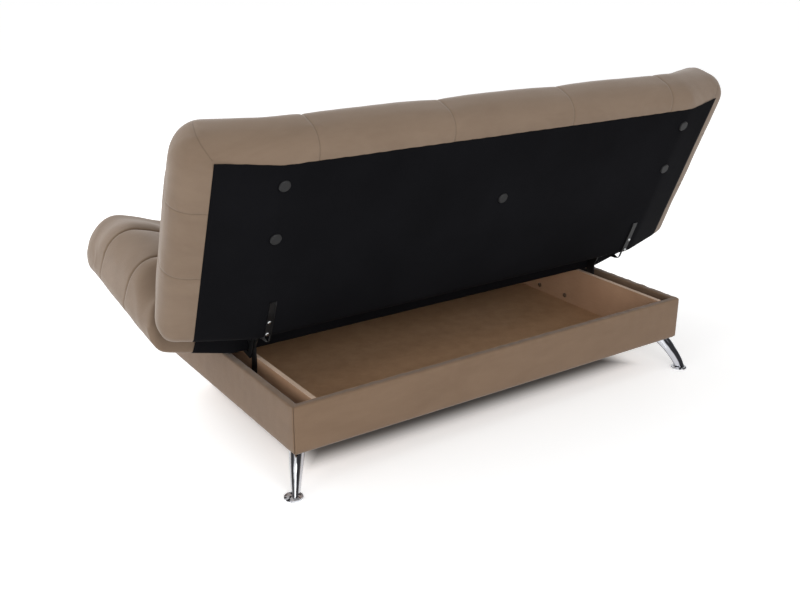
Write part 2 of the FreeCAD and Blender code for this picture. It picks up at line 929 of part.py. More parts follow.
def base_arm(name, side):
    """Bent flat bar from the partition up to the hinge line."""
    body = new_body(name, (arm_x * side, hinge_y, hinge_z))
    neck, jog, turn = size("arm_neck"), size("arm_jog"), size("arm_jog_radius")
    bend = size("arm_bend_radius")
    run = root(jog * (turn * 4 - jog))
    level = size("arm_level_z") - hinge_z
    half = size("arm_width") / 2
    cos_jog = 1 - jog / (turn * 2)
    sin_jog = run / (turn * 2)
    mid_y, mid_z = -jog / 2, -neck - run / 2
    foot_y = -jog - bend - size("arm_foot")
    tip = size("arm_tip_cut")
    outline = new_sketch(body, "YZ", None, name + "Outline")
    draw_outline(outline, [
        (half, sized(0)),
        (half, -neck, turn + half, 1),
        (mid_y + half * cos_jog, mid_z - half * sin_jog, turn - half, -1),
        (half - jog, -neck - run),
        (half - jog, level + bend, bend + half, 1),
        (-jog - bend, level - half),
        (foot_y + tip, level - half),
        (foot_y, level - half + tip),
        (foot_y, level + half - tip),
        (foot_y + tip, level + half),
        (-jog - bend, level + half, bend - half, -1),
        (-jog - half, level + bend),
        (-jog - half, -neck - run, turn + half, 1),
        (mid_y - half * cos_jog, mid_z + half * sin_jog, turn - half, -1),
        (-half, -neck),
        (-half, sized(0)),
    ])
    pad(body, outline, size("arm_thickness"), flip=side < 0, name="Bar")
    boss = new_sketch(body, "YZ", None, name + "Boss")
    draw_circle(boss, (0, 0), size("arm_boss_radius"))
    pad(body, boss, size("arm_thickness"), flip=side < 0, name="Boss")
    holes = new_sketch(body, "YZ", None, name + "Holes")
    draw_circle(holes, (0, 0), size("pivot_radius"))
    for reach in ("bolt_a_reach", "bolt_b_reach"):
        draw_outline(holes, polygon((-size(reach), level), size("bolt_radius"), VALUES["bolt_sides"]))
    pocket(body, holes, size("arm_thickness"), flip=side > 0, name="Holes")
    return keep(body)


def leg_plate_outline(way):
    """Side view of a hinge plate: a neck beside the hinge and a foot below."""
    low = -drop - size("plate_drop")
    top = -drop - size("cover_thickness")
    inner, outer, reach = size("plate_inner"), size("plate_outer"), size("plate_reach")
    corner = size("plate_corner")
    spots = [
        (sized(0), size("plate_shoulder")),
        (-inner, sized(0)),
        (inner, low + corner * 2),
        (inner + corner, low),
        (reach - corner, low),
        (reach, low + corner),
        (reach, top),
        (outer, top),
        (outer, -size("ratchet_tip_radius")),
        (size("plate_neck"), sized(0)),
    ]
    return [(spot[0] * way, spot[1]) for spot in spots]


def hinge_plate(name, side, way, pose_angle, plane_x, toothed):
    """A plate that carries one panel; the back's has the ratchet."""
    body = new_body(name, (plane_x * side, hinge_y, hinge_z), Vector(1, 0, 0), pose_angle)
    thin = size("plate_thickness")
    hub = new_sketch(body, "YZ", None, name + "Hub")
    draw_circle(hub, (0, 0), size("ratchet_tip_radius") if toothed else size("arm_boss_radius"))
    pad(body, hub, thin, flip=side < 0, name="Hub")
    if toothed:
        notch = new_sketch(body, "YZ", None, name + "Notch")
        first = size("ratchet_first")
        tip, depth = size("ratchet_tip_radius"), size("ratchet_depth")
        along_y, along_z = cosine(first), sine(first)

        def spot(out, aside):
            return along_y * out - along_z * aside, along_z * out + along_y * aside

        draw_outline(notch, [
            spot(tip - depth, size("ratchet_root")),
            spot(tip + margin, size("ratchet_ramp")),
            spot(tip + margin, -size("ratchet_stop")),
        ])
        cut = pocket(body, notch, thin, flip=side > 0, name="Notch")
        teeth = body.newObject("PartDesign::PolarPattern", name + "Teeth")
        teeth.Originals = [cut]
        teeth.Axis = (notch, ["N_Axis"])
        teeth.Angle = VALUES["ratchet_sweep"]
        bind(teeth, "Angle", size("ratchet_sweep"))
        teeth.Occurrences = VALUES["ratchet_teeth"]
        teeth.setExpression("Occurrences", "Sizes.ratchet_teeth")
        teeth.Reversed = True
        body.Tip = teeth
    blade = new_sketch(body, "YZ", None, name + "Blade")
    draw_outline(blade, leg_plate_outline(way))
    pad(body, blade, thin, flip=side < 0, name="Blade")
    lip_sketch = new_sketch(body, "XY", -drop - size("cover_thickness"), name + "Flange")
    start, reach, wide = size("flange_start"), size("plate_reach"), size("flange_width")
    draw_outline(lip_sketch, [
        (0, start * way),
        (wide * side, start * way),
        (wide * side, reach * way),
        (0, reach * way),
    ])
    pad(body, lip_sketch, size("flange_thickness"), flip=True, name="Flange")
    bore = new_sketch(body, "YZ", None, name + "Bore")
    draw_circle(bore, (0, 0), size("pivot_radius") + size("pivot_clearance"))
    pocket(body, bore, thin, flip=side > 0, name="Bore")
    return keep(body)


def pawl(name, side):
    """Catch on the seat's plate, drawn clear of the ratchet."""
    plane = seat_plate_x + size("plate_thickness")
    body = new_body(name, (plane * side, hinge_y, hinge_z), Vector(1, 0, 0), -size("seat_tilt"))
    across, down = size("pawl_pivot_u"), size("pawl_pivot_drop")
    boss = size("pawl_boss_radius")
    tip_u = size("pawl_tip_u")
    orbit = size("ratchet_tip_radius") + size("pawl_clearance")
    tip_z = -root(orbit * orbit - tip_u * tip_u)
    hub = new_sketch(body, "YZ", None, name + "Hub")
    draw_circle(hub, (-across, -down), boss)
    pad(body, hub, size("plate_thickness"), flip=side < 0, name="Hub")
    finger = new_sketch(body, "YZ", None, name + "Finger")
    half, nose = size("pawl_width") / 2, size("pawl_nose")
    draw_outline(finger, [
        (-across, -down + half),
        (-across, -down - half),
        (nose - tip_u, tip_z - nose * 2),
        (-tip_u, tip_z),
        (-tip_u - nose, tip_z),
    ])
    pad(body, finger, size("plate_thickness"), flip=side < 0, name="Finger")
    return keep(body)


def bolt(name, x_start, side, reach):
    """Cap bolt through the partition and the foot of the arm, with its nut."""
    level = size("arm_level_z") - hinge_z
    body = new_body(name, (x_start * side, hinge_y, hinge_z))
    cap_sketch = new_sketch(body, "YZ", None, name + "Cap")
    spot = (-size(reach), level)
    draw_outline(cap_sketch, polygon(spot, size("bolt_head_radius"), VALUES["bolt_sides"]))
    pad(body, cap_sketch, size("bolt_head"), flip=side > 0, name="Cap")
    shank = new_sketch(body, "YZ", None, name + "Shank")
    draw_outline(shank, polygon(spot, size("bolt_radius"), VALUES["bolt_sides"]))
    grip = size("partition_thickness") + size("arm_thickness")
    pad(body, shank, grip + size("bolt_nut_height"), flip=side < 0, name="Shank")
    nut = new_sketch(body, "YZ", grip * side, name + "Nut")
    draw_outline(nut, hexagon(spot, size("bolt_nut_flats")))
    pad(body, nut, size("bolt_nut_height"), flip=side < 0, name="Nut")
    return keep(body)


def pivot(name, side):
    """Hinge bolt: head, shank through the three plates, and nut."""
    body = new_body(name, (arm_x * side, hinge_y, hinge_z))
    head = new_sketch(body, "YZ", None, name + "Head")
    draw_outline(head, polygon((0, 0), size("pivot_head_radius"), VALUES["round_sides"]))
    pad(body, head, size("pivot_head"), flip=side > 0, name="Head")
    shank = new_sketch(body, "YZ", None, name + "Shank")
    draw_circle(shank, (0, 0), size("pivot_radius"))
    pad(body, shank, nut_x - arm_x + size("nut_height"), flip=side < 0, name="Shank")
    nut = new_sketch(body, "YZ", (nut_x - arm_x) * side, name + "Nut")
    draw_outline(nut, hexagon((sized(0), sized(0)), size("nut_flats")))
    pad(body, nut, size("nut_height"), flip=side < 0, name="Nut")
    return keep(body)


partition_face = well_inner - size("partition_thickness")
for side, end in ((1, "left"), (-1, "right")):
    base_arm("hinge_arm_" + end, side)
    hinge_plate("seat_hinge_plate_" + end, side, -1, -size("seat_tilt"), seat_plate_x, False)
    hinge_plate("back_ratchet_plate_" + end, side, 1, 90 - size("back_lean"), back_plate_x, True)
    pawl("seat_pawl_" + end, side)
    pivot("hinge_pivot_" + end, side)
    bolt("arm_bolt_front_" + end, partition_face, side, "bolt_b_reach")
    bolt("arm_bolt_rear_" + end, partition_face, side, "bolt_a_reach")


# Every feature and every piece has to be sound before any file is written.
doc.recompute()
faults = []
for item in doc.Objects:
    if "Invalid" in item.State or "Error" in item.State:
        faults.append("%s is %s" % (item.Name, item.State))
for piece in parts:
    shape = piece.Shape
    if shape.isNull() or not shape.isValid():
        faults.append(piece.Label + " has no sound shape")
    elif len(shape.Solids) != 1:
        faults.append("%s has %d solids" % (piece.Label, len(shape.Solids)))
if faults:
    raise RuntimeError("; ".join(faults))

os.makedirs("parts", exist_ok=True)
whole = FreeCAD.BoundBox()
for piece in parts:
    piece.Shape.exportStep(os.path.join("parts", piece.Label + ".step"))
    whole.add(piece.Shape.BoundBox)
print("%d pieces" % len(parts))
print("x %.1f to %.1f" % (whole.XMin, whole.XMax))
print("y %.1f to %.1f" % (whole.YMin, whole.YMax))
print("z %.1f to %.1f" % (whole.ZMin, whole.ZMax))
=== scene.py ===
import json
import math

import bmesh
import bpy
import numpy as np
from mathutils import Matrix, Vector


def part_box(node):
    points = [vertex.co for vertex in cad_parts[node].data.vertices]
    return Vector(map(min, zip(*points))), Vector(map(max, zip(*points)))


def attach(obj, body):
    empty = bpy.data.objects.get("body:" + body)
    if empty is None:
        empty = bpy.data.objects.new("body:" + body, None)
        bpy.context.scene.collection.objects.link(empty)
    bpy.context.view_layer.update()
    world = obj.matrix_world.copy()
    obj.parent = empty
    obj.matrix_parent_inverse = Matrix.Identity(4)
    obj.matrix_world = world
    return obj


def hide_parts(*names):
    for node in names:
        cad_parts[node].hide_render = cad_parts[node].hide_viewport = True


# Storage sofa bed with a click-clack hinge. Everything is in metres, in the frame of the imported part.
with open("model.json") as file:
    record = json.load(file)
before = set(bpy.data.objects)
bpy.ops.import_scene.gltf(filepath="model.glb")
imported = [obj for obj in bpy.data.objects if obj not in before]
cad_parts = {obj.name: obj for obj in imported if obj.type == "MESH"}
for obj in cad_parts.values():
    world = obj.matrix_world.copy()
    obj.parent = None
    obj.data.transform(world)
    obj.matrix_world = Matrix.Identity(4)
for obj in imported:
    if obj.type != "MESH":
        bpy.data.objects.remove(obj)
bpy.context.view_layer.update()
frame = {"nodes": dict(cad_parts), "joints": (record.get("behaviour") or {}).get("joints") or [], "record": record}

# Driving sizes of the panels, as in the part's source. A panel's reach runs away from the hinge line.
# Its height is measured from that line, and its underside lies DROP below it.
HINGE = Vector(frame["joints"][0]["pos_m"])
SEAT_TURN = math.radians(-9.3)
BACK_TURN = math.radians(68.25)
DROP = 0.100
CREASE_X = 0.785
WING_ANGLE = math.radians(15)
PANEL_REACH = 0.745
HINGE_GAP = 0.036
THICKNESS = 0.165
SEAM_HEIGHT = 0.151
PILLOW = 0.019
NEAR_CORNER = 0.045
SEAT_LIFT_LIMIT = math.radians(24)
FOLD = (BACK_TURN - SEAT_TURN + SEAT_LIFT_LIMIT) / 2
FOLD_CLEARANCE = 0.003
COLUMN_SEAMS = (0.232, 0.680)
ROW_LINES = ("row_low", "row_high")
ENDS = (("left", 1), ("right", -1))

scene = bpy.context.scene


# Camera, as found from the photograph's perspective.
CAMERA_AZIMUTH = math.radians(145.66)
CAMERA_DROP = math.radians(20.565)
CAMERA_ROLL = math.radians(0.238)
CAMERA_X, CAMERA_BEHIND, CAMERA_Z = 1.96246, 2.23210, 1.53604
REAR_FACE_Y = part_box("rear_rail")[1].y
FOCAL_PIXELS, IMAGE_WIDTH, SENSOR = 993.2, 800.0, 36.0


def make_camera():
    data = bpy.data.cameras.new("camera")
    camera = bpy.data.objects.new("camera", data)
    scene.collection.objects.link(camera)
    forward = Vector((
        -math.sin(CAMERA_AZIMUTH) * math.cos(CAMERA_DROP),
        math.cos(CAMERA_AZIMUTH) * math.cos(CAMERA_DROP),
        -math.sin(CAMERA_DROP),
    ))
    right = Vector((math.cos(CAMERA_AZIMUTH), math.sin(CAMERA_AZIMUTH), 0))
    up = right.cross(forward)
    rolled_right = right * math.cos(CAMERA_ROLL) + up * math.sin(CAMERA_ROLL)
    rolled_up = up * math.cos(CAMERA_ROLL) - right * math.sin(CAMERA_ROLL)
    turn = Matrix((rolled_right, rolled_up, -forward)).transposed()
    place = Vector((CAMERA_X, CAMERA_BEHIND + REAR_FACE_Y, CAMERA_Z))
    camera.matrix_world = Matrix.Translation(place) @ turn.to_4x4()
    data.sensor_width = SENSOR
    data.lens = FOCAL_PIXELS * SENSOR / IMAGE_WIDTH
    data.clip_end = 50
    scene.camera = camera


make_camera()


# Small helpers for node materials.
class Nodes:
    """A material's node tree, with short calls to add and join nodes."""

    def __init__(self, name):
        self.material = bpy.data.materials.new(name)
        self.material.use_nodes = True
        self.tree = self.material.node_tree
        self.shader = self.tree.nodes["Principled BSDF"]
        self.coords = self.add("ShaderNodeTexCoord").outputs["Object"]

    def add(self, kind, **settings):
        node = self.tree.nodes.new(kind)
        for key, value in settings.items():
            setattr(node, key, value)
        return node

    def join(self, source, target):
        self.tree.links.new(source, target)

    def axis(self, name):
        node = self.add("ShaderNodeSeparateXYZ")
        self.join(self.coords, node.inputs["Vector"])
        return node.outputs[name]

    def stretched(self, scale):
        node = self.add("ShaderNodeMapping")
        node.inputs["Scale"].default_value = scale
        self.join(self.coords, node.inputs["Vector"])
        return node.outputs["Vector"]

    def noise(self, scale, detail=3.0, rough=0.55, stretch=None, distortion=0.0):
        node = self.add("ShaderNodeTexNoise")
        node.inputs["Scale"].default_value = scale
        node.inputs["Detail"].default_value = detail
        node.inputs["Roughness"].default_value = rough
        node.inputs["Distortion"].default_value = distortion
        self.join(self.stretched(stretch) if stretch else self.coords, node.inputs["Vector"])
        return node.outputs["Fac"]

    def remap(self, value, low, high, to_low, to_high):
        node = self.add("ShaderNodeMapRange")
        limits = {"From Min": low, "From Max": high, "To Min": to_low, "To Max": to_high}
        for socket, number in limits.items():
            node.inputs[socket].default_value = number
        self.join(value, node.inputs["Value"])
        return node.outputs["Result"]

    def math(self, operation, first, second):
        node = self.add("ShaderNodeMath", operation=operation)
        for socket, value in zip(node.inputs, (first, second)):
            if isinstance(value, (int, float)):
                socket.default_value = value
            else:
                self.join(value, socket)
        return node.outputs["Value"]

    def blend(self, factor, first, second):
        node = self.add("ShaderNodeMix", data_type="RGBA")
        sockets = (("Factor", "VALUE", factor), ("A", "RGBA", first), ("B", "RGBA", second))
        for name, kind, value in sockets:
            target = [item for item in node.inputs if item.name == name and item.type == kind][0]
            if isinstance(value, (int, float)):
                target.default_value = value
            elif isinstance(value, tuple):
                target.default_value = value + (1.0,)
            else:
                self.join(value, target)
        return [item for item in node.outputs if item.type == "RGBA"][0]

    def mixed(self, value, low, high, first, second, most=1.0):
        """Blends from first towards second as a value goes from low to high."""
        return self.blend(self.remap(value, low, high, 0.0, most), first, second)

    def attribute(self, name):
        return self.add("ShaderNodeAttribute", attribute_name=name).outputs["Fac"]

    def line(self, name, place=0.0, width=0.0022):
        """1 on the line where an attribute equals place, 0 away from it."""
        away = self.math("ABSOLUTE", self.math("SUBTRACT", self.attribute(name), place), 0.0)
        return self.remap(away, 0.0, width, 1.0, 0.0)

    def bump(self, *layers):
        """Adds bump layers, each (height socket, strength, distance)."""
        normal = None
        for height, strength, distance in layers:
            node = self.add("ShaderNodeBump")
            node.inputs["Strength"].default_value = strength
            node.inputs["Distance"].default_value = distance
            self.join(height, node.inputs["Height"])
            if normal is not None:
                self.join(normal, node.inputs["Normal"])
            normal = node.outputs["Normal"]
        self.join(normal, self.shader.inputs["Normal"])

    def finish(self, colour, roughness, **constants):
        for value, socket in ((colour, "Base Color"), (roughness, "Roughness")):
            if isinstance(value, tuple):
                self.shader.inputs[socket].default_value = value + (1.0,)
            elif isinstance(value, (int, float)):
                self.shader.inputs[socket].default_value = value
            else:
                self.join(value, self.shader.inputs[socket])
        for name, value in constants.items():
            self.shader.inputs[name.replace("_", " ")].default_value = value
        return self.material


# Materials.
TAUPE = (0.206, 0.145, 0.101)
TAUPE_LIGHT = (0.246, 0.182, 0.132)
TAUPE_DEEP = (0.156, 0.109, 0.075)
# Painted shade of the sunk seams.
TAUPE_SEAM_SHADE = (0.105, 0.074, 0.050)
RAIL_WARMTH = (0.95, 0.87, 0.79)
BLACK_CLOTH, BLACK_CLOTH_LIGHT = (0.0038, 0.0038, 0.0046), (0.0056, 0.0056, 0.0068)
BLACK_CLOTH_FIBRE = (0.011, 0.011, 0.013)
WOOD_DARK, WOOD_LIGHT = (0.34, 0.22, 0.11), (0.52, 0.37, 0.21)
FACING_DEEP, FACING_LIGHT = (0.500, 0.300, 0.185), (0.590, 0.370, 0.235)
FACING_FIBRE = (0.410, 0.240, 0.145)
RAW_EDGE_DEEP, RAW_EDGE_LIGHT = (0.58, 0.42, 0.31), (0.74, 0.57, 0.44)
RAW_EDGE_Z = 0.2735
PRESSED_DEEP, PRESSED_LIGHT = (0.385, 0.218, 0.115), (0.480, 0.285, 0.155)
PRESSED_SPECK, PRESSED_RUBBED = (0.270, 0.145, 0.070), (0.550, 0.360, 0.220)
# Painted reflections on the chrome legs and feet: these colours stand in for a mirrored room.
CHROME_DARK_REFLECTION, CHROME_HIGHLIGHT_STREAK = (0.028, 0.028, 0.032), (0.78, 0.79, 0.82)
CHROME_FLANK_REFLECTION, CHROME_RIM_REFLECTION = (0.58, 0.59, 0.63), (0.20, 0.20, 0.22)
FOOT_BRIGHT_REFLECTION, FOOT_DARK_REFLECTION = (0.70, 0.71, 0.75), (0.035, 0.035, 0.04)
ZINC_TONE, ZINC_WORN = (0.50, 0.51, 0.52), (0.22, 0.225, 0.23)
PAINT_DEEP, PAINT_LIGHT = (0.005, 0.005, 0.0055), (0.009, 0.009, 0.0095)
PAINT_CHIP = (0.16, 0.155, 0.15)
PLASTIC_DEEP, PLASTIC_LIGHT = (0.008, 0.008, 0.0085), (0.012, 0.012, 0.013)


def microfibre(name, seamed, warmth=(1.0, 1.0, 1.0)):
    """Short-nap fabric: brushed patches, a fine weave, and painted shade along the sunk seams."""
    kit = Nodes(name)
    plain, light, deep = (
        tuple(value * share for value, share in zip(tone, warmth))
        for tone in (TAUPE, TAUPE_LIGHT, TAUPE_DEEP)
    )
    brushed = kit.noise(5.0, 4.0, 0.6, stretch=(0.6, 1.0, 1.6), distortion=0.6)
    streaks = kit.noise(38.0, 3.0, 0.6, stretch=(0.35, 1.0, 1.0))
    nap = kit.noise(900.0, 2.0, 0.6)
    weave = kit.noise(2600.0, 1.0, 0.5)
    colour = kit.mixed(brushed, 0.32, 0.68, deep, light)
    colour = kit.blend(0.62, colour, plain)
    colour = kit.mixed(streaks, 0.35, 0.75, colour, light, 0.22)
    colour = kit.mixed(nap, 0.3, 0.8, colour, deep, 0.16)
    # Painted shade: the colour darkens along the sunk seams, the mitre and the row lines.
    if seamed:
        seam = kit.line("mitre")
        for place in COLUMN_SEAMS:
            seam = kit.math("MAXIMUM", seam, kit.line("length", place))
        for row in ROW_LINES:
            seam = kit.math("MAXIMUM", seam, kit.line(row))
        colour = kit.blend(kit.math("MULTIPLY", seam, 0.62), colour, TAUPE_SEAM_SHADE)
    kit.bump((kit.noise(16.0, 3.0, 0.5), 0.12, 0.006), (nap, 0.25, 0.0006), (weave, 0.2, 0.0003))
    rough = kit.remap(brushed, 0.3, 0.7, 0.82, 0.93)
    return kit.finish(colour, rough, Sheen_Weight=0.28, Sheen_Roughness=0.45, Specular_IOR_Level=0.18)


def dust_cloth():
    """Thin non-woven cloth with a fine pressed dot pattern."""
    kit = Nodes("dust_cloth")
    dots = kit.add("ShaderNodeTexVoronoi")
    dots.inputs["Scale"].default_value = 420.0
    dots.inputs["Randomness"].default_value = 0.35
    kit.join(kit.coords, dots.inputs["Vector"])
    fibres = kit.noise(700.0, 3.0, 0.7)
    cloud = kit.noise(4.0, 3.0, 0.5)
    colour = kit.mixed(cloud, 0.3, 0.7, BLACK_CLOTH, BLACK_CLOTH_LIGHT)
    colour = kit.mixed(fibres, 0.45, 0.8, colour, BLACK_CLOTH_FIBRE, 0.3)
    kit.bump((dots.outputs["Distance"], 0.3, 0.0004), (fibres, 0.25, 0.0003))
    return kit.finish(colour, 0.9, Specular_IOR_Level=0.05)


def wood(name, dark, light, grain_axis, rough):
    """Sawn or planed wood with growth lines along one axis."""
    kit = Nodes(name)
    stretch = tuple(0.06 if axis == grain_axis else 1.0 for axis in range(3))
    rings = kit.noise(60.0, 5.0, 0.65, stretch=stretch, distortion=1.2)
    fibre = kit.noise(420.0, 2.0, 0.6, stretch=stretch)
    patches = kit.noise(3.0, 2.0, 0.5)
    colour = kit.mixed(rings, 0.3, 0.7, dark, light)
    colour = kit.mixed(fibre, 0.4, 0.8, colour, dark, 0.3)
    colour = kit.mixed(patches, 0.3, 0.7, colour, light, 0.25)
    kit.bump((rings, 0.15, 0.0006), (fibre, 0.2, 0.0003))
    return kit.finish(colour, rough, Specular_IOR_Level=0.3)


def faced_board():
    """Board with a smooth brown-beige face and a raw pale edge on top."""
    kit = Nodes("pale_board")
    fibre = kit.noise(260.0, 3.0, 0.6, stretch=(1.0, 0.12, 1.0))
    cloud = kit.noise(6.0, 3.0, 0.5)
    chips = kit.noise(340.0, 3.0, 0.7)
    face = kit.mixed(cloud, 0.3, 0.7, FACING_DEEP, FACING_LIGHT)
    face = kit.mixed(fibre, 0.4, 0.8, face, FACING_FIBRE, 0.3)
    edge = kit.mixed(chips, 0.35, 0.7, RAW_EDGE_DEEP, RAW_EDGE_LIGHT)
    colour = kit.mixed(kit.axis("Z"), RAW_EDGE_Z - 0.0008, RAW_EDGE_Z, face, edge)
    kit.bump((fibre, 0.12, 0.0004), (chips, 0.2, 0.0003))
    return kit.finish(colour, 0.55, Specular_IOR_Level=0.35)


def hardboard():
    """Brown pressed board, mottled, with faint rubbed marks."""
    kit = Nodes("hardboard")
    mottled = kit.noise(22.0, 5.0, 0.7)
    specks = kit.noise(520.0, 3.0, 0.7)
    rubbed = kit.noise(7.0, 4.0, 0.6, stretch=(0.35, 1.0, 1.0), distortion=0.8)
    colour = kit.mixed(mottled, 0.3, 0.7, PRESSED_DEEP, PRESSED_LIGHT)
    colour = kit.mixed(specks, 0.45, 0.8, colour, PRESSED_SPECK, 0.45)
    colour = kit.mixed(rubbed, 0.5, 0.8, colour, PRESSED_RUBBED, 0.25)
    kit.bump((specks, 0.2, 0.0004), (mottled, 0.1, 0.0008))
    return kit.finish(colour, kit.remap(rubbed, 0.3, 0.8, 0.55, 0.75), Specular_IOR_Level=0.35)


def metal(name, colour, rough, worn):
    """Plated metal with fine polishing marks and a little dulling."""
    kit = Nodes(name)
    marks = kit.noise(180.0, 3.0, 0.6, stretch=(1.0, 1.0, 0.15))
    dull = kit.noise(26.0, 3.0, 0.6)
    tone = kit.mixed(dull, 0.4, 0.75, colour, worn, 0.4)
    kit.bump((marks, 0.05, 0.0002))
    return kit.finish(tone, kit.remap(marks, 0.3, 0.8, rough, rough + 0.08), Metallic=1.0)


def leg_chrome():
    """Polished chrome with painted reflections: a dark nose with one painted highlight streak, bright flanks and a
    dull rear edge.
    """
    kit = Nodes("leg_chrome")
    # Painted reflection: the bands are colour, laid along the bar by its round mark, with a painted highlight
    # streak on the nose.
    wobble = kit.remap(kit.noise(30.0, 2.0, 0.5), 0.3, 0.7, -0.06, 0.06)
    place = kit.math("ADD", kit.attribute("round"), wobble)
    painted_highlight = kit.remap(place, 0.06, 0.20, 1.0, 0.0)
    colour = kit.blend(painted_highlight, CHROME_DARK_REFLECTION, CHROME_HIGHLIGHT_STREAK)
    colour = kit.mixed(place, 0.94, 1.06, colour, CHROME_FLANK_REFLECTION)
    colour = kit.mixed(place, 1.80, 1.92, colour, CHROME_RIM_REFLECTION, 0.75)
    kit.bump((kit.noise(900.0, 2.0, 0.5), 0.02, 0.0001))
    return kit.finish(colour, 0.06, Metallic=1.0)


def foot_chrome():
    """Polished foot with painted reflections: bright and dark patches in its colour."""
    kit = Nodes("foot_chrome")
    patches = kit.noise(95.0, 2.0, 0.5)
    # Painted reflection: noise patches of bright and dark colour stand in for a mirrored room.
    colour = kit.mixed(patches, 0.50, 0.56, FOOT_BRIGHT_REFLECTION, FOOT_DARK_REFLECTION)
    kit.bump((kit.noise(900.0, 2.0, 0.5), 0.02, 0.0001))
    return kit.finish(colour, 0.08, Metallic=0.6)


def painted_steel():
    """Black satin paint over steel, rubbed bright in small spots."""
    kit = Nodes("painted_steel")
    chips = kit.noise(140.0, 4.0, 0.7)
    cloud = kit.noise(30.0, 3.0, 0.6)
    colour = kit.mixed(cloud, 0.3, 0.7, PAINT_DEEP, PAINT_LIGHT)
    colour = kit.mixed(chips, 0.70, 0.76, colour, PAINT_CHIP, 0.8)
    kit.bump((kit.noise(600.0, 2.0, 0.5), 0.12, 0.0003))
    return kit.finish(colour, kit.remap(cloud, 0.3, 0.7, 0.32, 0.46), Specular_IOR_Level=0.3)


def moulded_plastic():
    kit = Nodes("cap_plastic")
    grain = kit.noise(1500.0, 2.0, 0.6)
    cloud = kit.noise(60.0, 2.0, 0.5)
    colour = kit.mixed(cloud, 0.3, 0.7, PLASTIC_DEEP, PLASTIC_LIGHT)
    kit.bump((grain, 0.25, 0.0002))
    return kit.finish(colour, 0.5, Specular_IOR_Level=0.3)


CUSHION_CLOTH = microfibre("cushion_cloth", True)
RAIL_CLOTH = microfibre("rail_cloth", False, RAIL_WARMTH)
DUST_CLOTH = dust_cloth()
FRAME_WOOD = wood("frame_wood", WOOD_DARK, WOOD_LIGHT, 0, 0.7)
PALE_BOARD = faced_board()
HARDBOARD = hardboard()
LEG_CHROME = leg_chrome()
FOOT_CHROME = foot_chrome()
ZINC = metal("zinc", ZINC_TONE, 0.22, ZINC_WORN)
STEEL = painted_steel()
PLASTIC = moulded_plastic()
FINISHES = {
    "upholstery": CUSHION_CLOTH,
    "dust_cloth": DUST_CLOTH,
    "frame_wood": FRAME_WOOD,
    "pale_board": PALE_BOARD,
    "floor_board": HARDBOARD,
    "chrome": FOOT_CHROME,
    "hinge_steel": STEEL,
    "zinc": ZINC,
    "cap_plastic": PLASTIC,
}


def dress_cad_nodes():
    """Gives every CAD node the finish of its own slot."""
    for row in frame["record"]["subparts"]:
        node = frame["nodes"][row["node"]]
        node.data.materials.clear()
        node.data.materials.append(FINISHES[row["material_slot"]])


dress_cad_nodes()


# Mesh helpers.
def new_piece(name, vertices, faces, material, body, nodes=(), smooth=True):
    """A mesh piece that rides on a body and stands for CAD nodes."""
    mesh = bpy.data.meshes.new(name)
    mesh.from_pydata([tuple(map(float, vertex)) for vertex in vertices], [], faces)
    mesh.update()
    piece = bpy.data.objects.new(name, mesh)
    scene.collection.objects.link(piece)
    mesh.materials.append(material)
    if smooth:
        mesh.shade_smooth()
    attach(piece, body)
    if nodes:
        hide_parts(*nodes)
    return piece


def get_points(mesh, kind="co"):
    """The vertices' places, or their normals."""
    values = np.empty(len(mesh.vertices) * 3)
    mesh.vertices.foreach_get(kind, values)
    return values.reshape(-1, 3)


def set_points(mesh, points):
    mesh.vertices.foreach_set("co", np.ascontiguousarray(points).reshape(-1))
    mesh.update()


def store(mesh, name, values):
    """Keeps one number for each vertex."""
    layer = mesh.attributes.get(name) or mesh.attributes.new(name, "FLOAT", "POINT")
    layer.data.foreach_set("value", np.asarray(values, np.float32))


def recall(mesh, name):
    values = np.empty(len(mesh.vertices), np.float32)
    mesh.attributes[name].data.foreach_get("value", values)
    return values.astype(float)


def face_outward(mesh):
    work = bmesh.new()
    work.from_mesh(mesh)
    bmesh.ops.recalc_face_normals(work, faces=work.faces)
    work.to_mesh(mesh)
    work.free()


def ring_faces(rings, count):
    """Quads that join closed rings of count points each."""
    faces = []
    for ring in range(rings - 1):
        for index in range(count):
            here, after = ring * count + index, ring * count + (index + 1) % count
            faces.append((here, after, after + count, here + count))
    return faces


def loft(name, sections, material, body, nodes=()):
    """Joins closed sections with the same number of points."""
    count = len(sections[0])
    points = [point for section in sections for point in section]
    faces = ring_faces(len(sections), count)
    faces.append(tuple(range(count)))
    faces.append(tuple((len(sections) - 1) * count + index for index in reversed(range(count))))
    piece = new_piece(name, points, faces, material, body, nodes, smooth=False)
    face_outward(piece.data)
    return piece


def bevel(piece, width):
    """Softens every sharp edge of a piece."""
    modifier = piece.modifiers.new("soft_edges", "BEVEL")
    modifier.width = width
    modifier.segments = 2
    modifier.limit_method = "ANGLE"
    piece.data.shade_smooth()
    normal = piece.modifiers.new("flat_faces", "WEIGHTED_NORMAL")
    normal.keep_sharp = True


def waves(x, y, seed, scale, layers=4):
    """Smooth repeatable ripples between -1 and 1, from a few crossed sines."""
    source = np.random.default_rng(seed)
    total = np.zeros_like(x)
    for _ in range(layers):
        angle = source.uniform(0, 2 * math.pi)
        phase = source.uniform(0, 6.28)
        pitch = source.uniform(0.7, 1.5)
        along = x * math.cos(angle) + y * math.sin(angle)
        total += np.sin(along * 2 * math.pi * pitch / scale + phase)
    return total / layers


def smooth_step(value):
    value = np.clip(value, 0, 1)
    return value * value * (3 - 2 * value)


def ridge(distance, width):
    """1 on a line, fading to 0 over about a width."""
    return np.exp(-(distance / width) ** 2)


def spread(start, stop, pitch):
    """Even stations from start to stop, about a pitch apart."""
    count = max(1, int(round((stop - start) / pitch)))
    return list(np.linspace(start, stop, count + 1))


SEAM_SIDE_LINES = (0.003, 0.009)


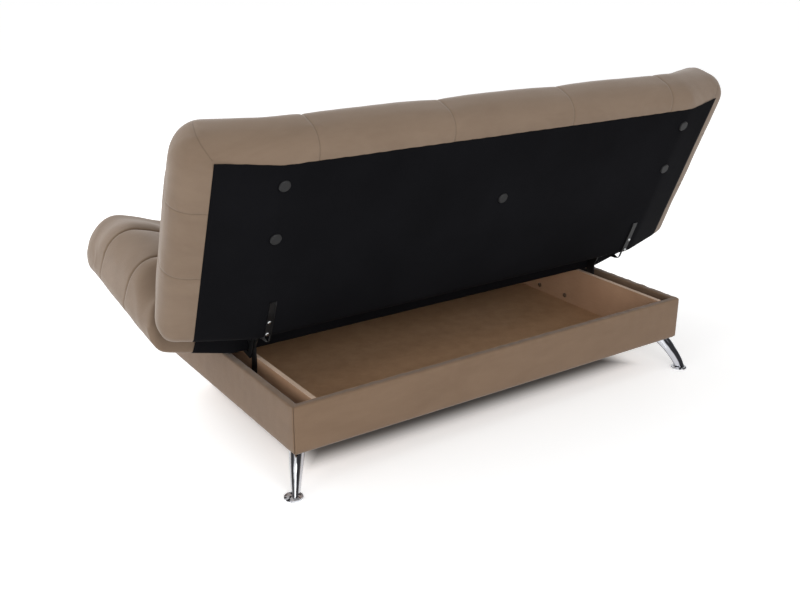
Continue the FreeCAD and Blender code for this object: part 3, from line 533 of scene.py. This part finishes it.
def seam_stations(start, stop, seams, pitch):
    """Stations with close lines on both sides of each seam."""
    marks = set()
    edges = [start] + sorted(seams) + [stop]
    for low, high in zip(edges, edges[1:]):
        near = low + SEAM_SIDE_LINES[-1] if low in seams else low
        far = high - SEAM_SIDE_LINES[-1] if high in seams else high
        marks.update(round(mark, 6) for mark in spread(near, far, pitch))
    for seam in seams:
        marks.add(round(seam, 6))
        for offset in SEAM_SIDE_LINES:
            marks.update((round(seam - offset, 6), round(seam + offset, 6)))
    return sorted(marks)


# The padded panels: a closed rounded form on a grid whose lines follow the seams.
BEND_HALF, BEND_GROWTH = 0.010, 0.35


class Panel:
    """Shape of one winged, padded panel; way is 1 if it reaches towards +Y and -1 towards -Y."""

    def __init__(self, name, turn, way, **sizes):
        self.name = name
        self.turn = turn
        self.way = way
        self.length = CREASE_X + sizes["wing_reach"]
        self.cover_edge = CREASE_X + sizes["cover_reach"]
        self.corner = sizes["corner"]
        self.taper = sizes["taper"]
        self.low_near = sizes["low_near"]
        self.tip_low = sizes["tip_low"]
        self.tip_high = sizes["tip_high"]
        self.wing_rise = sizes["wing_rise"]
        self.seams = sorted(sizes["seams"])

    def place(self, across, reach, height):
        """Points in the part's frame, from the panel's own across, reach and height."""
        along = np.array((0, math.cos(self.turn) * self.way, math.sin(self.turn) * self.way))
        upward = np.array((0, -math.sin(self.turn), math.cos(self.turn)))
        points = np.zeros(np.shape(across) + (3,))
        points[..., 0] = across
        points += np.asarray(reach)[..., None] * along + np.asarray(height)[..., None] * upward
        return points + np.array(HINGE)

    def bend(self, run, level):
        """Turns the wings up: run along the length and level above the underside."""
        side = np.sign(run)
        length = np.abs(run)
        half = BEND_HALF + BEND_GROWTH * np.clip(level, 0, None)
        share = np.clip((length - CREASE_X + half) / (2 * half), 0, 1)
        angle = WING_ANGLE * share
        radius = 2 * half / WING_ANGLE
        start = CREASE_X - half
        across = np.where(share > 0, start + radius * np.sin(angle), length)
        rise = radius * (1 - np.cos(angle))
        beyond = np.clip(length - CREASE_X - half, 0, None)
        across = across + beyond * math.cos(WING_ANGLE)
        rise = rise + beyond * math.sin(WING_ANGLE)
        across = across - level * np.sin(angle)
        height = rise + level * np.cos(angle) - DROP
        return across * side, height


ROUND_STEPS = 8
LOW_FAR, HIGH_FAR, HIGH_NEAR = 0.070, 0.060, 0.070


def loop_profile(panel, stations):
    """Closed section of the panel: pairs of (reach, level) from the underside round to the top."""
    far, near, low_near = PANEL_REACH, HINGE_GAP, panel.low_near
    under = [(mark, 0.0) for mark in stations]
    top = [(mark, THICKNESS) for mark in reversed(stations)]
    outer = quarter(far - LOW_FAR, LOW_FAR, LOW_FAR, -90, 0)
    outer += quarter(far - HIGH_FAR, THICKNESS - HIGH_FAR, HIGH_FAR, 0, 90)
    inner = quarter(near + HIGH_NEAR, THICKNESS - HIGH_NEAR, HIGH_NEAR, 90, 180)
    inner += quarter(near + low_near, low_near, low_near, 180, 270)
    return under, outer, top, inner


def quarter(middle_reach, middle_level, radius, start, stop):
    """Points of a quarter circle between two angles in degrees."""
    points = []
    for step in range(ROUND_STEPS + 1):
        angle = math.radians(start + (stop - start) * step / ROUND_STEPS)
        points.append((middle_reach + radius * math.cos(angle), middle_level + radius * math.sin(angle)))
    return points


def rounding(radius, distance):
    """How far a rounded edge falls back at a distance from its end."""
    inset = np.clip(radius - distance, 0, radius)
    return radius - np.sqrt(radius ** 2 - inset ** 2)


GRID = 0.016
ROW_MARGIN = 0.075
TIP_STEPS = 11


def make_panel(panel):
    """Builds, inflates and stitches one padded panel."""
    row_marks = seam_stations(HINGE_GAP + ROW_MARGIN, PANEL_REACH - ROW_MARGIN, panel.seams, GRID)
    under, outer, top, inner = loop_profile(panel, row_marks)
    loop = np.array(under + outer + top + inner)
    count = len(loop)
    half = seam_stations(0.0, panel.length - panel.tip_high, COLUMN_SEAMS, GRID)
    turns = [math.pi / 2 * step / TIP_STEPS for step in range(1, TIP_STEPS + 1)]
    tip = [panel.length - panel.tip_high * (1 - math.sin(turn)) for turn in turns]
    half = [mark for mark in half if mark > 1e-6] + tip
    runs = [-mark for mark in reversed(half)] + [0.0] + half
    run = np.repeat(np.array(runs), count)
    plain = np.tile(loop[:, 0], len(runs))
    share = np.tile(loop[:, 1] / THICKNESS, len(runs))
    length = np.abs(run)
    from_tip = panel.length - length
    far_weight = smooth_step((plain - PANEL_REACH + 0.25) / 0.25)
    near_weight = smooth_step((HINGE_GAP + 0.20 - plain) / 0.20)
    wing = smooth_step((length - CREASE_X + 0.10) / 0.35)
    far_drop = rounding(panel.corner, from_tip) + panel.taper * (0.15 + 0.85 * wing)
    depth = plain - far_drop * far_weight + rounding(NEAR_CORNER, from_tip) * near_weight
    low = rounding(panel.tip_low, from_tip)
    high = THICKNESS + wing_raise(panel, length, plain) - rounding(panel.tip_high, from_tip)
    level = low + share * (high - low)
    fade = smooth_step((from_tip - 0.02) / 0.10)
    crown = pillow(length, plain, panel) - (THICKNESS - SEAM_HEIGHT)
    level = level + smooth_step((share - 0.6) / 0.4) * fade * crown
    across, height = panel.bend(run, level)
    depth = fold_room(depth, height, length)
    points = panel.place(across, depth, height)
    faces = ring_faces(len(runs), count)
    faces += tip_faces(under, outer, top, inner, 0, False)
    faces += tip_faces(under, outer, top, inner, (len(runs) - 1) * count, True)
    name, nodes = panel.name + "_padding", [panel.name + "_cushion"]
    piece = new_piece(name, points, faces, CUSHION_CLOTH, panel.name, nodes)
    mesh = piece.data
    face_outward(mesh)
    for name, values in (("run", run), ("reach", plain), ("depth", depth), ("level", level)):
        store(mesh, name, values)
    inflate(piece, panel)
    subdivide(piece)
    stitch(piece, panel)


def wing_raise(panel, length, reach):
    """Extra thickness of the wings, most in the middle rows."""
    along = smooth_step((length - CREASE_X + 0.10) / 0.24)
    middle = smooth_step((reach - 0.12) / 0.13) * (1 - 0.72 * smooth_step((reach - 0.50) / 0.19))
    return panel.wing_rise * along * middle


PAD_POWER = 2.6
COLUMN_FALL, ROW_FALL = 0.11, 0.10


def pads(along, seams, fall):
    """1 in the middle of each pad and 0 on its seams; outside them it rises over a distance."""
    share = np.ones_like(along)
    for low, high in zip(seams, seams[1:]):
        inside = (along >= low) & (along <= high)
        middle = np.clip((along - low) / (high - low), 0, 1)
        share = np.where(inside, 1 - np.abs(2 * middle - 1) ** PAD_POWER, share)
    for beyond in (seams[0] - along, along - seams[-1]):
        outside = 1 - np.clip(1 - beyond / fall, 0, 1) ** PAD_POWER
        share = np.where(beyond > 0, outside, share)
    return share


def pillow(length, reach, panel):
    """Height of the pads above the seam lines."""
    columns = pads(length, [-COLUMN_SEAMS[0]] + list(COLUMN_SEAMS), COLUMN_FALL)
    rows = pads(reach, panel.seams, ROW_FALL)
    return PILLOW * np.sqrt(columns * rows)


def fold_room(reach, height, length):
    """Draws the wings back from the fold between seat and back."""
    limit = np.clip(height, 0, None) * math.tan(FOLD) + FOLD_CLEARANCE / math.cos(FOLD)
    wing = smooth_step((length - CREASE_X + 0.05) / 0.15)
    soft = 0.004 + 0.030 * wing
    drawn = 0.5 * (reach + limit + np.sqrt((reach - limit) ** 2 + soft ** 2))
    return np.where(height > 0, np.maximum(reach, drawn), reach)


def tip_faces(under, outer, top, inner, base, flip):
    """Closes a wing's tip by pairing its lower and upper points."""
    count = len(under) + len(outer) + len(top) + len(inner)
    low = list(range(len(under)))
    first_outer = len(under)
    low_outer = list(range(first_outer, first_outer + len(outer) // 2))
    high_outer = list(range(first_outer + len(outer) // 2, first_outer + len(outer)))
    first_top = first_outer + len(outer)
    high = list(range(first_top, first_top + len(top)))[::-1]
    first_inner = first_top + len(top)
    high_inner = list(range(first_inner, first_inner + len(inner) // 2))
    low_inner = list(range(first_inner + len(inner) // 2, count))
    lower = low_inner + low + low_outer
    upper = high_inner[::-1] + high + high_outer[::-1]
    faces = []
    for index in range(len(lower) - 1):
        face = [lower[index], lower[index + 1], upper[index + 1], upper[index]]
        faces.append(tuple(base + corner for corner in (face if flip else face[::-1])))
    return faces


COVER_OUTER = PANEL_REACH - 0.077
COVER_TOP = 0.085


def under_cover(panel, length, reach, level):
    """True where the black cover hides the fabric."""
    flat = (level < 0.004) & (reach < COVER_OUTER + 0.004)
    edge = (level < COVER_TOP) & (reach < HINGE_GAP + panel.low_near + 0.002)
    return (flat | edge) & (length < panel.cover_edge + 0.004)


SWELL_PRESSURE = 3.0
SWELL_FRAMES = 15
SWELL_CAP = 0.008
HELD_WIDTH = 0.006


def inflate(piece, panel):
    """Lets the cover swell between its seams, as stuffed cloth does."""
    mesh = piece.data
    run, reach, level = (recall(mesh, name) for name in ("run", "reach", "level"))
    rest = get_points(mesh)
    length = np.abs(run)
    seam = np.zeros_like(run)
    for mark in COLUMN_SEAMS:
        seam = np.maximum(seam, ridge(length - mark, HELD_WIDTH))
    for mark in panel.seams:
        seam = np.maximum(seam, ridge(reach - mark, HELD_WIDTH))
    hidden = under_cover(panel, length, reach, level)
    weight = np.clip(np.maximum(seam, hidden), 0.02, 1)
    group = piece.vertex_groups.new(name="held")
    for index, value in enumerate(weight):
        group.add([index], float(value), "REPLACE")
    modifier = piece.modifiers.new("swell", "CLOTH")
    settings = modifier.settings
    settings.vertex_group_mass = "held"
    settings.pin_stiffness = 1.0
    settings.quality = 4
    settings.mass = 0.3
    settings.tension_stiffness = 12
    settings.compression_stiffness = 12
    settings.shear_stiffness = 6
    settings.bending_stiffness = 0.6
    settings.use_pressure = True
    settings.uniform_pressure_force = SWELL_PRESSURE
    settings.shrink_min = 0.004
    settings.effector_weights.gravity = 0
    modifier.collision_settings.use_collision = False
    for number in range(1, SWELL_FRAMES + 1):
        scene.frame_set(number)
    evaluated = piece.evaluated_get(bpy.context.evaluated_depsgraph_get())
    swollen = get_points(evaluated.data)
    piece.modifiers.remove(modifier)
    piece.vertex_groups.remove(group)
    scene.frame_set(1)
    move = swollen - rest
    size = np.linalg.norm(move, axis=1, keepdims=True)
    move = move * np.minimum(1, SWELL_CAP / np.maximum(size, 1e-9))
    move *= (1 - hidden.astype(float))[:, None]
    set_points(mesh, rest + move)


def subdivide(piece):
    modifier = piece.modifiers.new("smooth", "SUBSURF")
    modifier.levels = 1
    modifier.render_levels = 1
    evaluated = piece.evaluated_get(bpy.context.evaluated_depsgraph_get())
    mesh = bpy.data.meshes.new_from_object(evaluated)
    piece.modifiers.clear()
    old = piece.data
    piece.data = mesh
    bpy.data.meshes.remove(old)
    mesh.shade_smooth()


SEAM_WIDTH = 0.0032
SEAM_PULL = 0.0038
MITRE_SLOPE = 1.15
PUCKER_DEPTH, GATHER_DEPTH = 0.0008, 0.0010
SLOW_DEPTH, SLOW_DEPTH_SHORT = 0.0012, 0.0005
CLOTH_SEEDS = {"seat": 11, "back": 23}


def stitch(piece, panel):
    """Sinks the seams, puckers the cloth beside them and adds slow unevenness."""
    mesh = piece.data
    run, reach, depth, level = (recall(mesh, name) for name in ("run", "reach", "depth", "level"))
    length = np.abs(run)
    points, normals = get_points(mesh), get_points(mesh, "normal")
    top = smooth_step((level - 0.10) / 0.04)
    seed = CLOTH_SEEDS[panel.name]
    groove = np.zeros_like(run)
    pucker = np.zeros_like(run)
    lines = [(length - mark, reach) for mark in COLUMN_SEAMS]
    lines += [(reach - mark, run) for mark in panel.seams]
    for number, (distance, along) in enumerate(lines):
        groove = np.maximum(groove, ridge(distance, SEAM_WIDTH))
        ripple = waves(along, level * 1.3, seed + number, 0.034)
        pucker += ripple * ridge(np.abs(distance) - 0.012, 0.012)
    beyond = length - panel.cover_edge
    diagonal = ((depth - COVER_OUTER) - beyond * MITRE_SLOPE) / math.hypot(1, MITRE_SLOPE)
    beside = smooth_step((beyond + 0.004) / 0.008) * smooth_step((0.150 - level) / 0.01)
    groove = np.maximum(groove, ridge(diagonal, SEAM_WIDTH) * beside)
    pucker += 1.6 * waves(run * 0.6 + depth, level, seed + 80, 0.026) * ridge(diagonal, 0.022) * beside
    hem = np.maximum(depth - COVER_OUTER, beyond)
    gather = waves(run - depth, 0 * run, seed + 85, 0.045) * smooth_step((0.075 - hem) / 0.06)
    gather *= smooth_step((0.09 - level) / 0.05)
    visible = 1 - under_cover(panel, length, reach, level)
    slow = waves(run, reach + level, seed + 90, 0.30) * SLOW_DEPTH
    slow += waves(run, reach - level, seed + 91, 0.11) * SLOW_DEPTH_SHORT
    push = -SEAM_PULL * groove * (0.45 + 0.55 * top) + PUCKER_DEPTH * pucker + GATHER_DEPTH * gather + slow
    set_points(mesh, points + normals * (push * visible)[:, None])
    # These distances place the painted seam shade in the cushion cloth's colour.
    store(mesh, "length", length)
    for name, mark in zip(ROW_LINES, panel.seams):
        store(mesh, name, reach - mark)
    store(mesh, "mitre", np.where(beside > 0.3, diagonal, 1.0))
    for name in ("run", "reach", "depth", "level"):
        mesh.attributes.remove(mesh.attributes[name])


def grid_faces(rows, columns, base=0, flip=False):
    """Quads of a grid laid out row by row."""
    faces = []
    for row in range(rows - 1):
        for column in range(columns - 1):
            start = base + row * columns + column
            face = (start, start + 1, start + columns + 1, start + columns)
            faces.append(face[::-1] if flip else face)
    return faces


def sheet_faces(rows, columns):
    """Two grids, one over the other, joined round the border."""
    count = rows * columns
    faces = grid_faces(rows, columns) + grid_faces(rows, columns, count, True)
    border = list(range(columns))
    border += [row * columns + columns - 1 for row in range(1, rows)]
    border += [(rows - 1) * columns + column for column in range(columns - 2, -1, -1)]
    border += [row * columns for row in range(rows - 2, 0, -1)]
    for here, after in zip(border, border[1:] + border[:1]):
        faces.append((after, here, here + count, after + count))
    return faces


# How far the cloth's outer and inner faces stand off the padding.
COVER_SKIN, COVER_SEAT = 0.0009, 0.00015
COVER_GRID, COVER_TURNS = 0.014, 6
SCALLOP, STAPLE_PITCH = 0.0012, 0.055


def make_cover(panel):
    """Black cloth stapled under a panel and turned up round its hinge edge."""
    low = panel.low_near
    path = [(reach, 0.0, 0.0, -1.0) for reach in spread(COVER_OUTER, HINGE_GAP + low, COVER_GRID)]
    for step in range(1, COVER_TURNS):
        angle = math.pi / 2 * step / COVER_TURNS
        path.append((
            HINGE_GAP + low - low * math.sin(angle), low - low * math.cos(angle),
            -math.sin(angle), -math.cos(angle),
        ))
    path += [(HINGE_GAP, level, -1.0, 0.0) for level in spread(low, COVER_TOP, COVER_GRID)]
    path = np.array(path)
    runs = np.array(spread(-panel.cover_edge, panel.cover_edge, COVER_GRID))
    run = np.repeat(runs, len(path))
    reach, level, out_reach, out_level = (np.tile(path[:, index], len(runs)) for index in range(4))
    at_edge = np.tile(path[:, 0] > COVER_OUTER - 1e-6, len(runs))
    scallop = SCALLOP * np.abs(np.sin(run * math.pi / STAPLE_PITCH))
    scallop += 0.5 * SCALLOP * waves(run, 0 * run, 61, 0.2)
    reach = reach - scallop * at_edge
    layers = []
    for skin in (COVER_SKIN, COVER_SEAT):
        across, height = panel.bend(run, level + out_level * skin)
        layers.append(panel.place(across, reach + out_reach * skin, height))
    faces = sheet_faces(len(runs), len(path))
    points, node = np.concatenate(layers), panel.name + "_dust_cover"
    piece = new_piece(node + "_cloth", points, faces, DUST_CLOTH, panel.name, [node])
    face_outward(piece.data)


SEAT = Panel(
    "seat", SEAT_TURN, -1, wing_reach=0.283, cover_reach=0.142, corner=0.145, taper=0.0, low_near=0.012,
    tip_low=0.060, tip_high=0.105, wing_rise=0.058,
    seams=(PANEL_REACH - 0.060 - 0.195, HINGE_GAP + 0.070 + 0.169),
)
BACK = Panel(
    "back", BACK_TURN, 1, wing_reach=0.286, cover_reach=0.182, corner=0.085, taper=0.025, low_near=0.040,
    tip_low=0.065, tip_high=0.085, wing_rise=0.020,
    seams=(PANEL_REACH - 0.060 - 0.175, HINGE_GAP + 0.070 + 0.184),
)
make_panel(SEAT)
make_panel(BACK)
make_cover(SEAT)
make_cover(BACK)


# Storage box: boards wrapped in fabric, turned over at the top.
RAIL_THICK = 0.025
RAIL_SOFT = 0.0015
RAIL_ROUND, RAIL_TURNS = 0.006, 5
RAIL_GRID = 0.012
RAIL_RIPPLE, RAIL_RIPPLE_TOP, RAIL_RIPPLE_FINE = 0.0005, 0.0014, 0.0008
CORNER_ROUND = 0.0045
BOX_MIDDLE_Y = (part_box("rear_rail")[1].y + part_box("front_rail")[0].y) / 2


def rail_profile(tall, thick):
    """Closed section of a rail: pairs of (depth behind its outer face, level)."""
    profile = [(0.0, level) for level in spread(RAIL_ROUND, tall - RAIL_ROUND, RAIL_GRID)]
    turns = [math.pi / 2 * step / RAIL_TURNS for step in range(1, RAIL_TURNS)]
    for angle in turns:
        inward = RAIL_ROUND - RAIL_ROUND * math.cos(angle)
        profile.append((inward, tall - RAIL_ROUND + RAIL_ROUND * math.sin(angle)))
    profile += [(inward, tall) for inward in spread(RAIL_ROUND, thick - RAIL_ROUND, 0.006)]
    for angle in turns:
        inward = thick - RAIL_ROUND + RAIL_ROUND * math.sin(angle)
        profile.append((inward, tall - RAIL_ROUND + RAIL_ROUND * math.cos(angle)))
    profile += [(thick, level) for level in spread(tall - RAIL_ROUND, 0.004, 0.02)]
    profile += [(thick, 0.0), (RAIL_ROUND, 0.0)]
    return np.array(profile)


def make_rail(node, seed):
    """One rail with soft edges; its ends are mitred and rounded at the corner."""
    low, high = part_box(node)
    wide = high - low
    along = 0 if wide.x > wide.y else 1
    across = 1 - along
    middle = (low + high) / 2
    side = 1 if middle[across] > BOX_MIDDLE_Y * across else -1
    half, tall = wide[along] / 2, wide.z
    outer = high[across] if side > 0 else low[across]
    profile = rail_profile(tall, RAIL_THICK)
    stations = np.array(spread(-1.0, 1.0, RAIL_GRID / half))
    ends = np.array([1.0, 1 - 0.002 / half, 1 - 0.005 / half])
    stations = np.concatenate([-ends, stations[1:-1], ends[::-1]])
    place = np.repeat(stations, len(profile))
    inward, level = (np.tile(profile[:, index], len(stations)) for index in range(2))
    from_end = (1 - np.abs(place)) * half
    corner = rounding(CORNER_ROUND, from_end) * (1 - inward / RAIL_THICK)
    face = smooth_step((0.004 - inward) / 0.004)
    upper = smooth_step((level - tall + 0.03) / 0.03)
    run = place * half
    middle_height = np.sin(np.pi * np.clip(level / tall, 0, 1)) ** 0.5
    swell = RAIL_SOFT * face * middle_height * smooth_step(from_end / 0.03)
    ripple = waves(run, level * 0.4, seed, 0.05) * (RAIL_RIPPLE + RAIL_RIPPLE_TOP * upper)
    ripple += waves(run, level, seed + 7, 0.026, 5) * RAIL_RIPPLE_FINE * upper
    ripple *= smooth_step(from_end / 0.02)
    inward = inward + corner - (swell + ripple * face)
    level = level + ripple * (1 - face) * smooth_step((level - tall + 0.004) / 0.004)
    points = np.zeros((len(place), 3))
    points[:, along] = middle[along] + place * (half - np.clip(inward, 0, None))
    points[:, across] = outer - side * inward
    points[:, 2] = low.z + level
    sections = points.reshape(len(stations), len(profile), 3)
    piece = loft(node + "_cover", sections, RAIL_CLOTH, "box", [node])
    piece.data.shade_smooth()


for number, node in enumerate(("rear_rail", "front_rail", "side_rail_left", "side_rail_right")):
    make_rail(node, 300 + 20 * number)


# Battens under the floor, with ends cut back at a slant.
BATTEN_SLANT, BATTEN_TIP, BATTEN_EDGE = 0.09, 0.005, 0.0015


def make_batten(node):
    low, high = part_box(node)
    tall = high.z - low.z
    cuts = (
        (low.y, BATTEN_TIP),
        (low.y + BATTEN_SLANT, tall),
        (high.y - BATTEN_SLANT, tall),
        (high.y, BATTEN_TIP),
    )
    sections = []
    for place, depth in cuts:
        corners = ((low.x, high.z), (high.x, high.z), (high.x, high.z - depth), (low.x, high.z - depth))
        sections.append([(across, place, level) for across, level in corners])
    piece = loft(node + "_slat", sections, FRAME_WOOD, "box", [node])
    bevel(piece, BATTEN_EDGE)


for end in ("left", "right"):
    make_batten("floor_batten_" + end)


# Legs: a curved bar with a round nose that leans out. A station gives the drop from the leg's top, how
# far the nose stands out from the leg's own corner, the depth of the bar and half its width at the back.
FOOT_OUT = 0.019
LEG_TOP, LEG_LOW = 0.121, 0.009
LEG_LEAN = math.radians(33)
LEG_NOSE, LEG_SHOULDER = 0.42, 0.64
LEG_RINGS = 23
LEG_STATIONS = (
    (0.0, -0.026, 0.052, 0.0260),
    (0.010, -0.016, 0.056, 0.0255),
    (0.046, 0.012, 0.047, 0.0215),
    (0.077, 0.032, 0.041, 0.0175),
    (0.112, 0.048, 0.034, 0.0135),
)


def smooth_curve(place, stations, values):
    """A curve through given values, with slopes from the neighbours."""
    slopes = np.gradient(values, stations)
    index = int(np.clip(np.searchsorted(stations, place) - 1, 0, len(stations) - 2))
    wide = stations[index + 1] - stations[index]
    share = (place - stations[index]) / wide
    start, stop = values[index], values[index + 1]
    blend = share * share * (3 - 2 * share)
    ease_in = share * (1 - share) ** 2 * wide * slopes[index]
    ease_out = share * share * (1 - share) * wide * slopes[index + 1]
    return start + (stop - start) * blend + ease_in - ease_out


def leg_section(depth, half):
    """Half round nose, flat flanks that widen backwards, soft rear corners.

    Each point is (outward, sideways, mark). The mark grows from 0 on the nose to 1 where the flank starts
    and 2 near its rear corner.
    """
    nose, shoulder, soft = depth * LEG_NOSE, half * LEG_SHOULDER, min(0.004, half * 0.3)
    points = []
    for step in range(-ROUND_STEPS, ROUND_STEPS + 1):
        share = step / ROUND_STEPS
        angle = math.pi / 2 * share
        points.append((-nose + nose * math.cos(angle), shoulder * math.sin(angle), abs(share)))
    for side in (1, -1):
        flank = [
            (-nose - 0.0012, shoulder + (half - shoulder) * 0.03, 1.04),
            (-(nose + depth) / 2, (shoulder + half) / 2, 1.5),
            (-depth + soft, half - 0.0004, 1.96),
            (-depth + soft * 0.3, half - soft * 0.3, 2.0),
            (-depth, half - soft, 2.1),
        ]
        flank = [(radial, aside * side, mark) for radial, aside, mark in flank]
        points += flank if side > 0 else flank[::-1]
    return points


def make_leg(node, out_x, out_y):
    """One chrome leg under a corner of the box; out_x and out_y point away from the middle."""
    foot_low, foot_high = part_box(node.replace("leg", "foot"))
    foot = [(foot_low[axis] + foot_high[axis]) / 2 for axis in range(2)]
    corner = (foot[0] - FOOT_OUT * out_x, foot[1] - FOOT_OUT * out_y)
    ahead = np.array((out_x * math.sin(LEG_LEAN), out_y * math.cos(LEG_LEAN)))
    aside = np.array((-ahead[1], ahead[0]))
    table = np.array(LEG_STATIONS)
    sections, marks = [], []
    for drop in np.linspace(0, LEG_TOP - LEG_LOW, LEG_RINGS):
        front, depth, half = (smooth_curve(drop, table[:, 0], table[:, column]) for column in (1, 2, 3))
        ring = []
        for radial, sideways, mark in leg_section(depth, half):
            place = np.array(corner) + ahead * (front + radial) + aside * sideways
            ring.append((place[0], place[1], LEG_TOP - drop))
            marks.append(mark)
        sections.append(ring)
    piece = loft(node + "_bar", sections, LEG_CHROME, "box", [node])
    piece.data.shade_smooth()
    # The round mark places the painted reflection bands of the chrome.
    store(piece.data, "round", marks)


for row, out_y in (("rear", 1), ("front", -1)):
    for end, out_x in ENDS:
        make_leg("leg_%s_%s" % (row, end), out_x, out_y)


# The back's hinge plates, with a slimmer neck that stays behind the black cover's edge.
NECK_TURN = 0.065
NECK_SLANT = 0.75
NECK_IN, PLATE_LOW = 0.005, -0.106


def make_back_plate(node):
    """The solid's own points, with the neck drawn in and the foot made shallower."""
    source = frame["nodes"][node].data
    origin = BACK.place(0.0, 0.0, 0.0)
    along, upward = BACK.place(0.0, 1.0, 0.0) - origin, BACK.place(0.0, 0.0, 1.0) - origin
    points = get_points(source) - origin
    reach, height = points @ along, points @ upward
    least = NECK_IN + NECK_SLANT * (-NECK_TURN - height)
    slim = np.where(height < -NECK_TURN, np.maximum(reach, least), reach)
    tall = np.maximum(height, PLATE_LOW)
    points += np.outer(slim - reach, along) + np.outer(tall - height, upward) + origin
    faces = [tuple(face.vertices) for face in source.polygons]
    new_piece(node + "_slim", points, faces, STEEL, "back", [node], smooth=False)


for end in ("left", "right"):
    make_back_plate("back_ratchet_plate_" + end)


# Round-headed screws that hold the hinge plates to the panels.
FLANGE_FACE = -DROP - 0.004
SCREW_RADIUS, SCREW_HEIGHT, SCREW_SIDES = 0.006, 0.0035, 20
SCREW_DOME = ((1.0, 0.0), (1.0, 0.35), (0.86, 0.72), (0.5, 0.96), (0.2, 1.0))
SCREW_INSET, SCREW_REACHES = 0.014, (0.072, 0.118)


def make_screw(name, panel, across, reach):
    sections = []
    for radius_share, height_share in SCREW_DOME:
        radius, height = SCREW_RADIUS * radius_share, FLANGE_FACE - SCREW_HEIGHT * height_share
        ring = []
        for step in range(SCREW_SIDES):
            angle = 2 * math.pi * step / SCREW_SIDES
            aside, ahead = radius * math.cos(angle), radius * math.sin(angle)
            ring.append(tuple(panel.place(across + aside, reach + ahead, height)))
        sections.append(ring)
    piece = loft(name, sections, ZINC, panel.name)
    piece.data.shade_smooth()


for panel, node in ((BACK, "back_ratchet_plate_"), (SEAT, "seat_hinge_plate_")):
    for end, side in ENDS:
        low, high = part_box(node + end)
        across = (low.x if side > 0 else high.x) + side * SCREW_INSET
        for number, reach in enumerate(SCREW_REACHES):
            make_screw("%s%s_screw_%d" % (node, end, number + 1), panel, across, reach)


# Floor, world and lamps. The floor has a painted shadow under the box, and the sky dims overhead.
FLOOR_SIZE = 60.0
FLOOR_LIFT = 0.365
FLOOR_WHITE, FLOOR_SHADE = (0.96, 0.96, 0.96), (0.22, 0.22, 0.22)
SHADE_START, SHADE_FULL = 0.07, 0.19
BOX_HALF_X, BOX_HALF_Y = 0.80, 0.45
WORLD_LIGHT = 0.95
ZENITH_SHARE = 0.55


def make_floor():
    bpy.ops.mesh.primitive_plane_add(size=FLOOR_SIZE, location=(0, 0, 0))
    floor = bpy.context.object
    floor.name = "floor"
    kit = Nodes("floor_white")
    path = kit.add("ShaderNodeLightPath")
    seen = kit.math("MAXIMUM", path.outputs["Is Camera Ray"], path.outputs["Is Glossy Ray"])
    seen = kit.math("MAXIMUM", seen, path.outputs["Is Transmission Ray"])
    low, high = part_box("floor_panel")
    middle = (low + high) / 2
    # Painted shadow: under the box the floor's colour turns darker and its lift fades, by how far a point lies
    # inside the box.
    depths = []
    for axis, centre, half in (("X", middle.x, BOX_HALF_X), ("Y", middle.y, BOX_HALF_Y)):
        away = kit.math("ABSOLUTE", kit.math("SUBTRACT", kit.axis(axis), centre), 0.0)
        depths.append(kit.math("SUBTRACT", half, away))
    outside_painted_shadow = kit.remap(kit.math("MINIMUM", *depths), SHADE_START, SHADE_FULL, 1.0, 0.0)
    outside_painted_shadow.node.interpolation_type = "SMOOTHSTEP"
    kit.finish(kit.blend(outside_painted_shadow, FLOOR_SHADE, FLOOR_WHITE), 0.9, Specular_IOR_Level=0.0)
    kit.shader.inputs["Emission Color"].default_value = (1, 1, 1, 1)
    lift = kit.math("MULTIPLY", kit.math("MULTIPLY", seen, outside_painted_shadow), FLOOR_LIFT)
    kit.join(lift, kit.shader.inputs["Emission Strength"])
    floor.data.materials.append(kit.material)


def make_world():
    world = bpy.data.worlds.new("studio")
    scene.world = world
    world.use_nodes = True
    nodes, links = world.node_tree.nodes, world.node_tree.links
    background = nodes["Background"]
    background.inputs["Color"].default_value = (1, 1, 1, 1)
    rays = nodes.new("ShaderNodeLightPath")
    both = nodes.new("ShaderNodeMath")
    both.operation = "MAXIMUM"
    links.new(rays.outputs["Is Camera Ray"], both.inputs[0])
    links.new(rays.outputs["Is Glossy Ray"], both.inputs[1])
    direction = nodes.new("ShaderNodeTexCoord")
    split = nodes.new("ShaderNodeSeparateXYZ")
    links.new(direction.outputs["Generated"], split.inputs["Vector"])
    height = nodes.new("ShaderNodeMapRange")
    height.inputs["To Min"].default_value = WORLD_LIGHT
    height.inputs["To Max"].default_value = WORLD_LIGHT * ZENITH_SHARE
    links.new(split.outputs["Z"], height.inputs["Value"])
    level = nodes.new("ShaderNodeMapRange")
    level.inputs["To Max"].default_value = 1.0
    links.new(height.outputs["Result"], level.inputs["To Min"])
    links.new(both.outputs["Value"], level.inputs["Value"])
    links.new(level.outputs["Result"], background.inputs["Strength"])


def lamp(name, place, target, size, power):
    data = bpy.data.lights.new(name, "AREA")
    data.shape = "DISK"
    data.size = size
    data.energy = power
    lamp_object = bpy.data.objects.new(name, data)
    scene.collection.objects.link(lamp_object)
    lamp_object.location = place
    direction = Vector(target) - Vector(place)
    lamp_object.rotation_euler = direction.to_track_quat("-Z", "Y").to_euler()


make_floor()
make_world()
lamp("front_side", (2.0, -3.6, 3.0), (0, 0, 0.4), 3.0, 112)
lamp("picture_left", (4.2, 0.4, 1.8), (0.2, 0, 0.5), 2.6, 24)
lamp("behind_camera", (1.0, 4.4, 1.9), (0, 0.2, 0.2), 2.6, 62)

scene.view_settings.view_transform = "Standard"
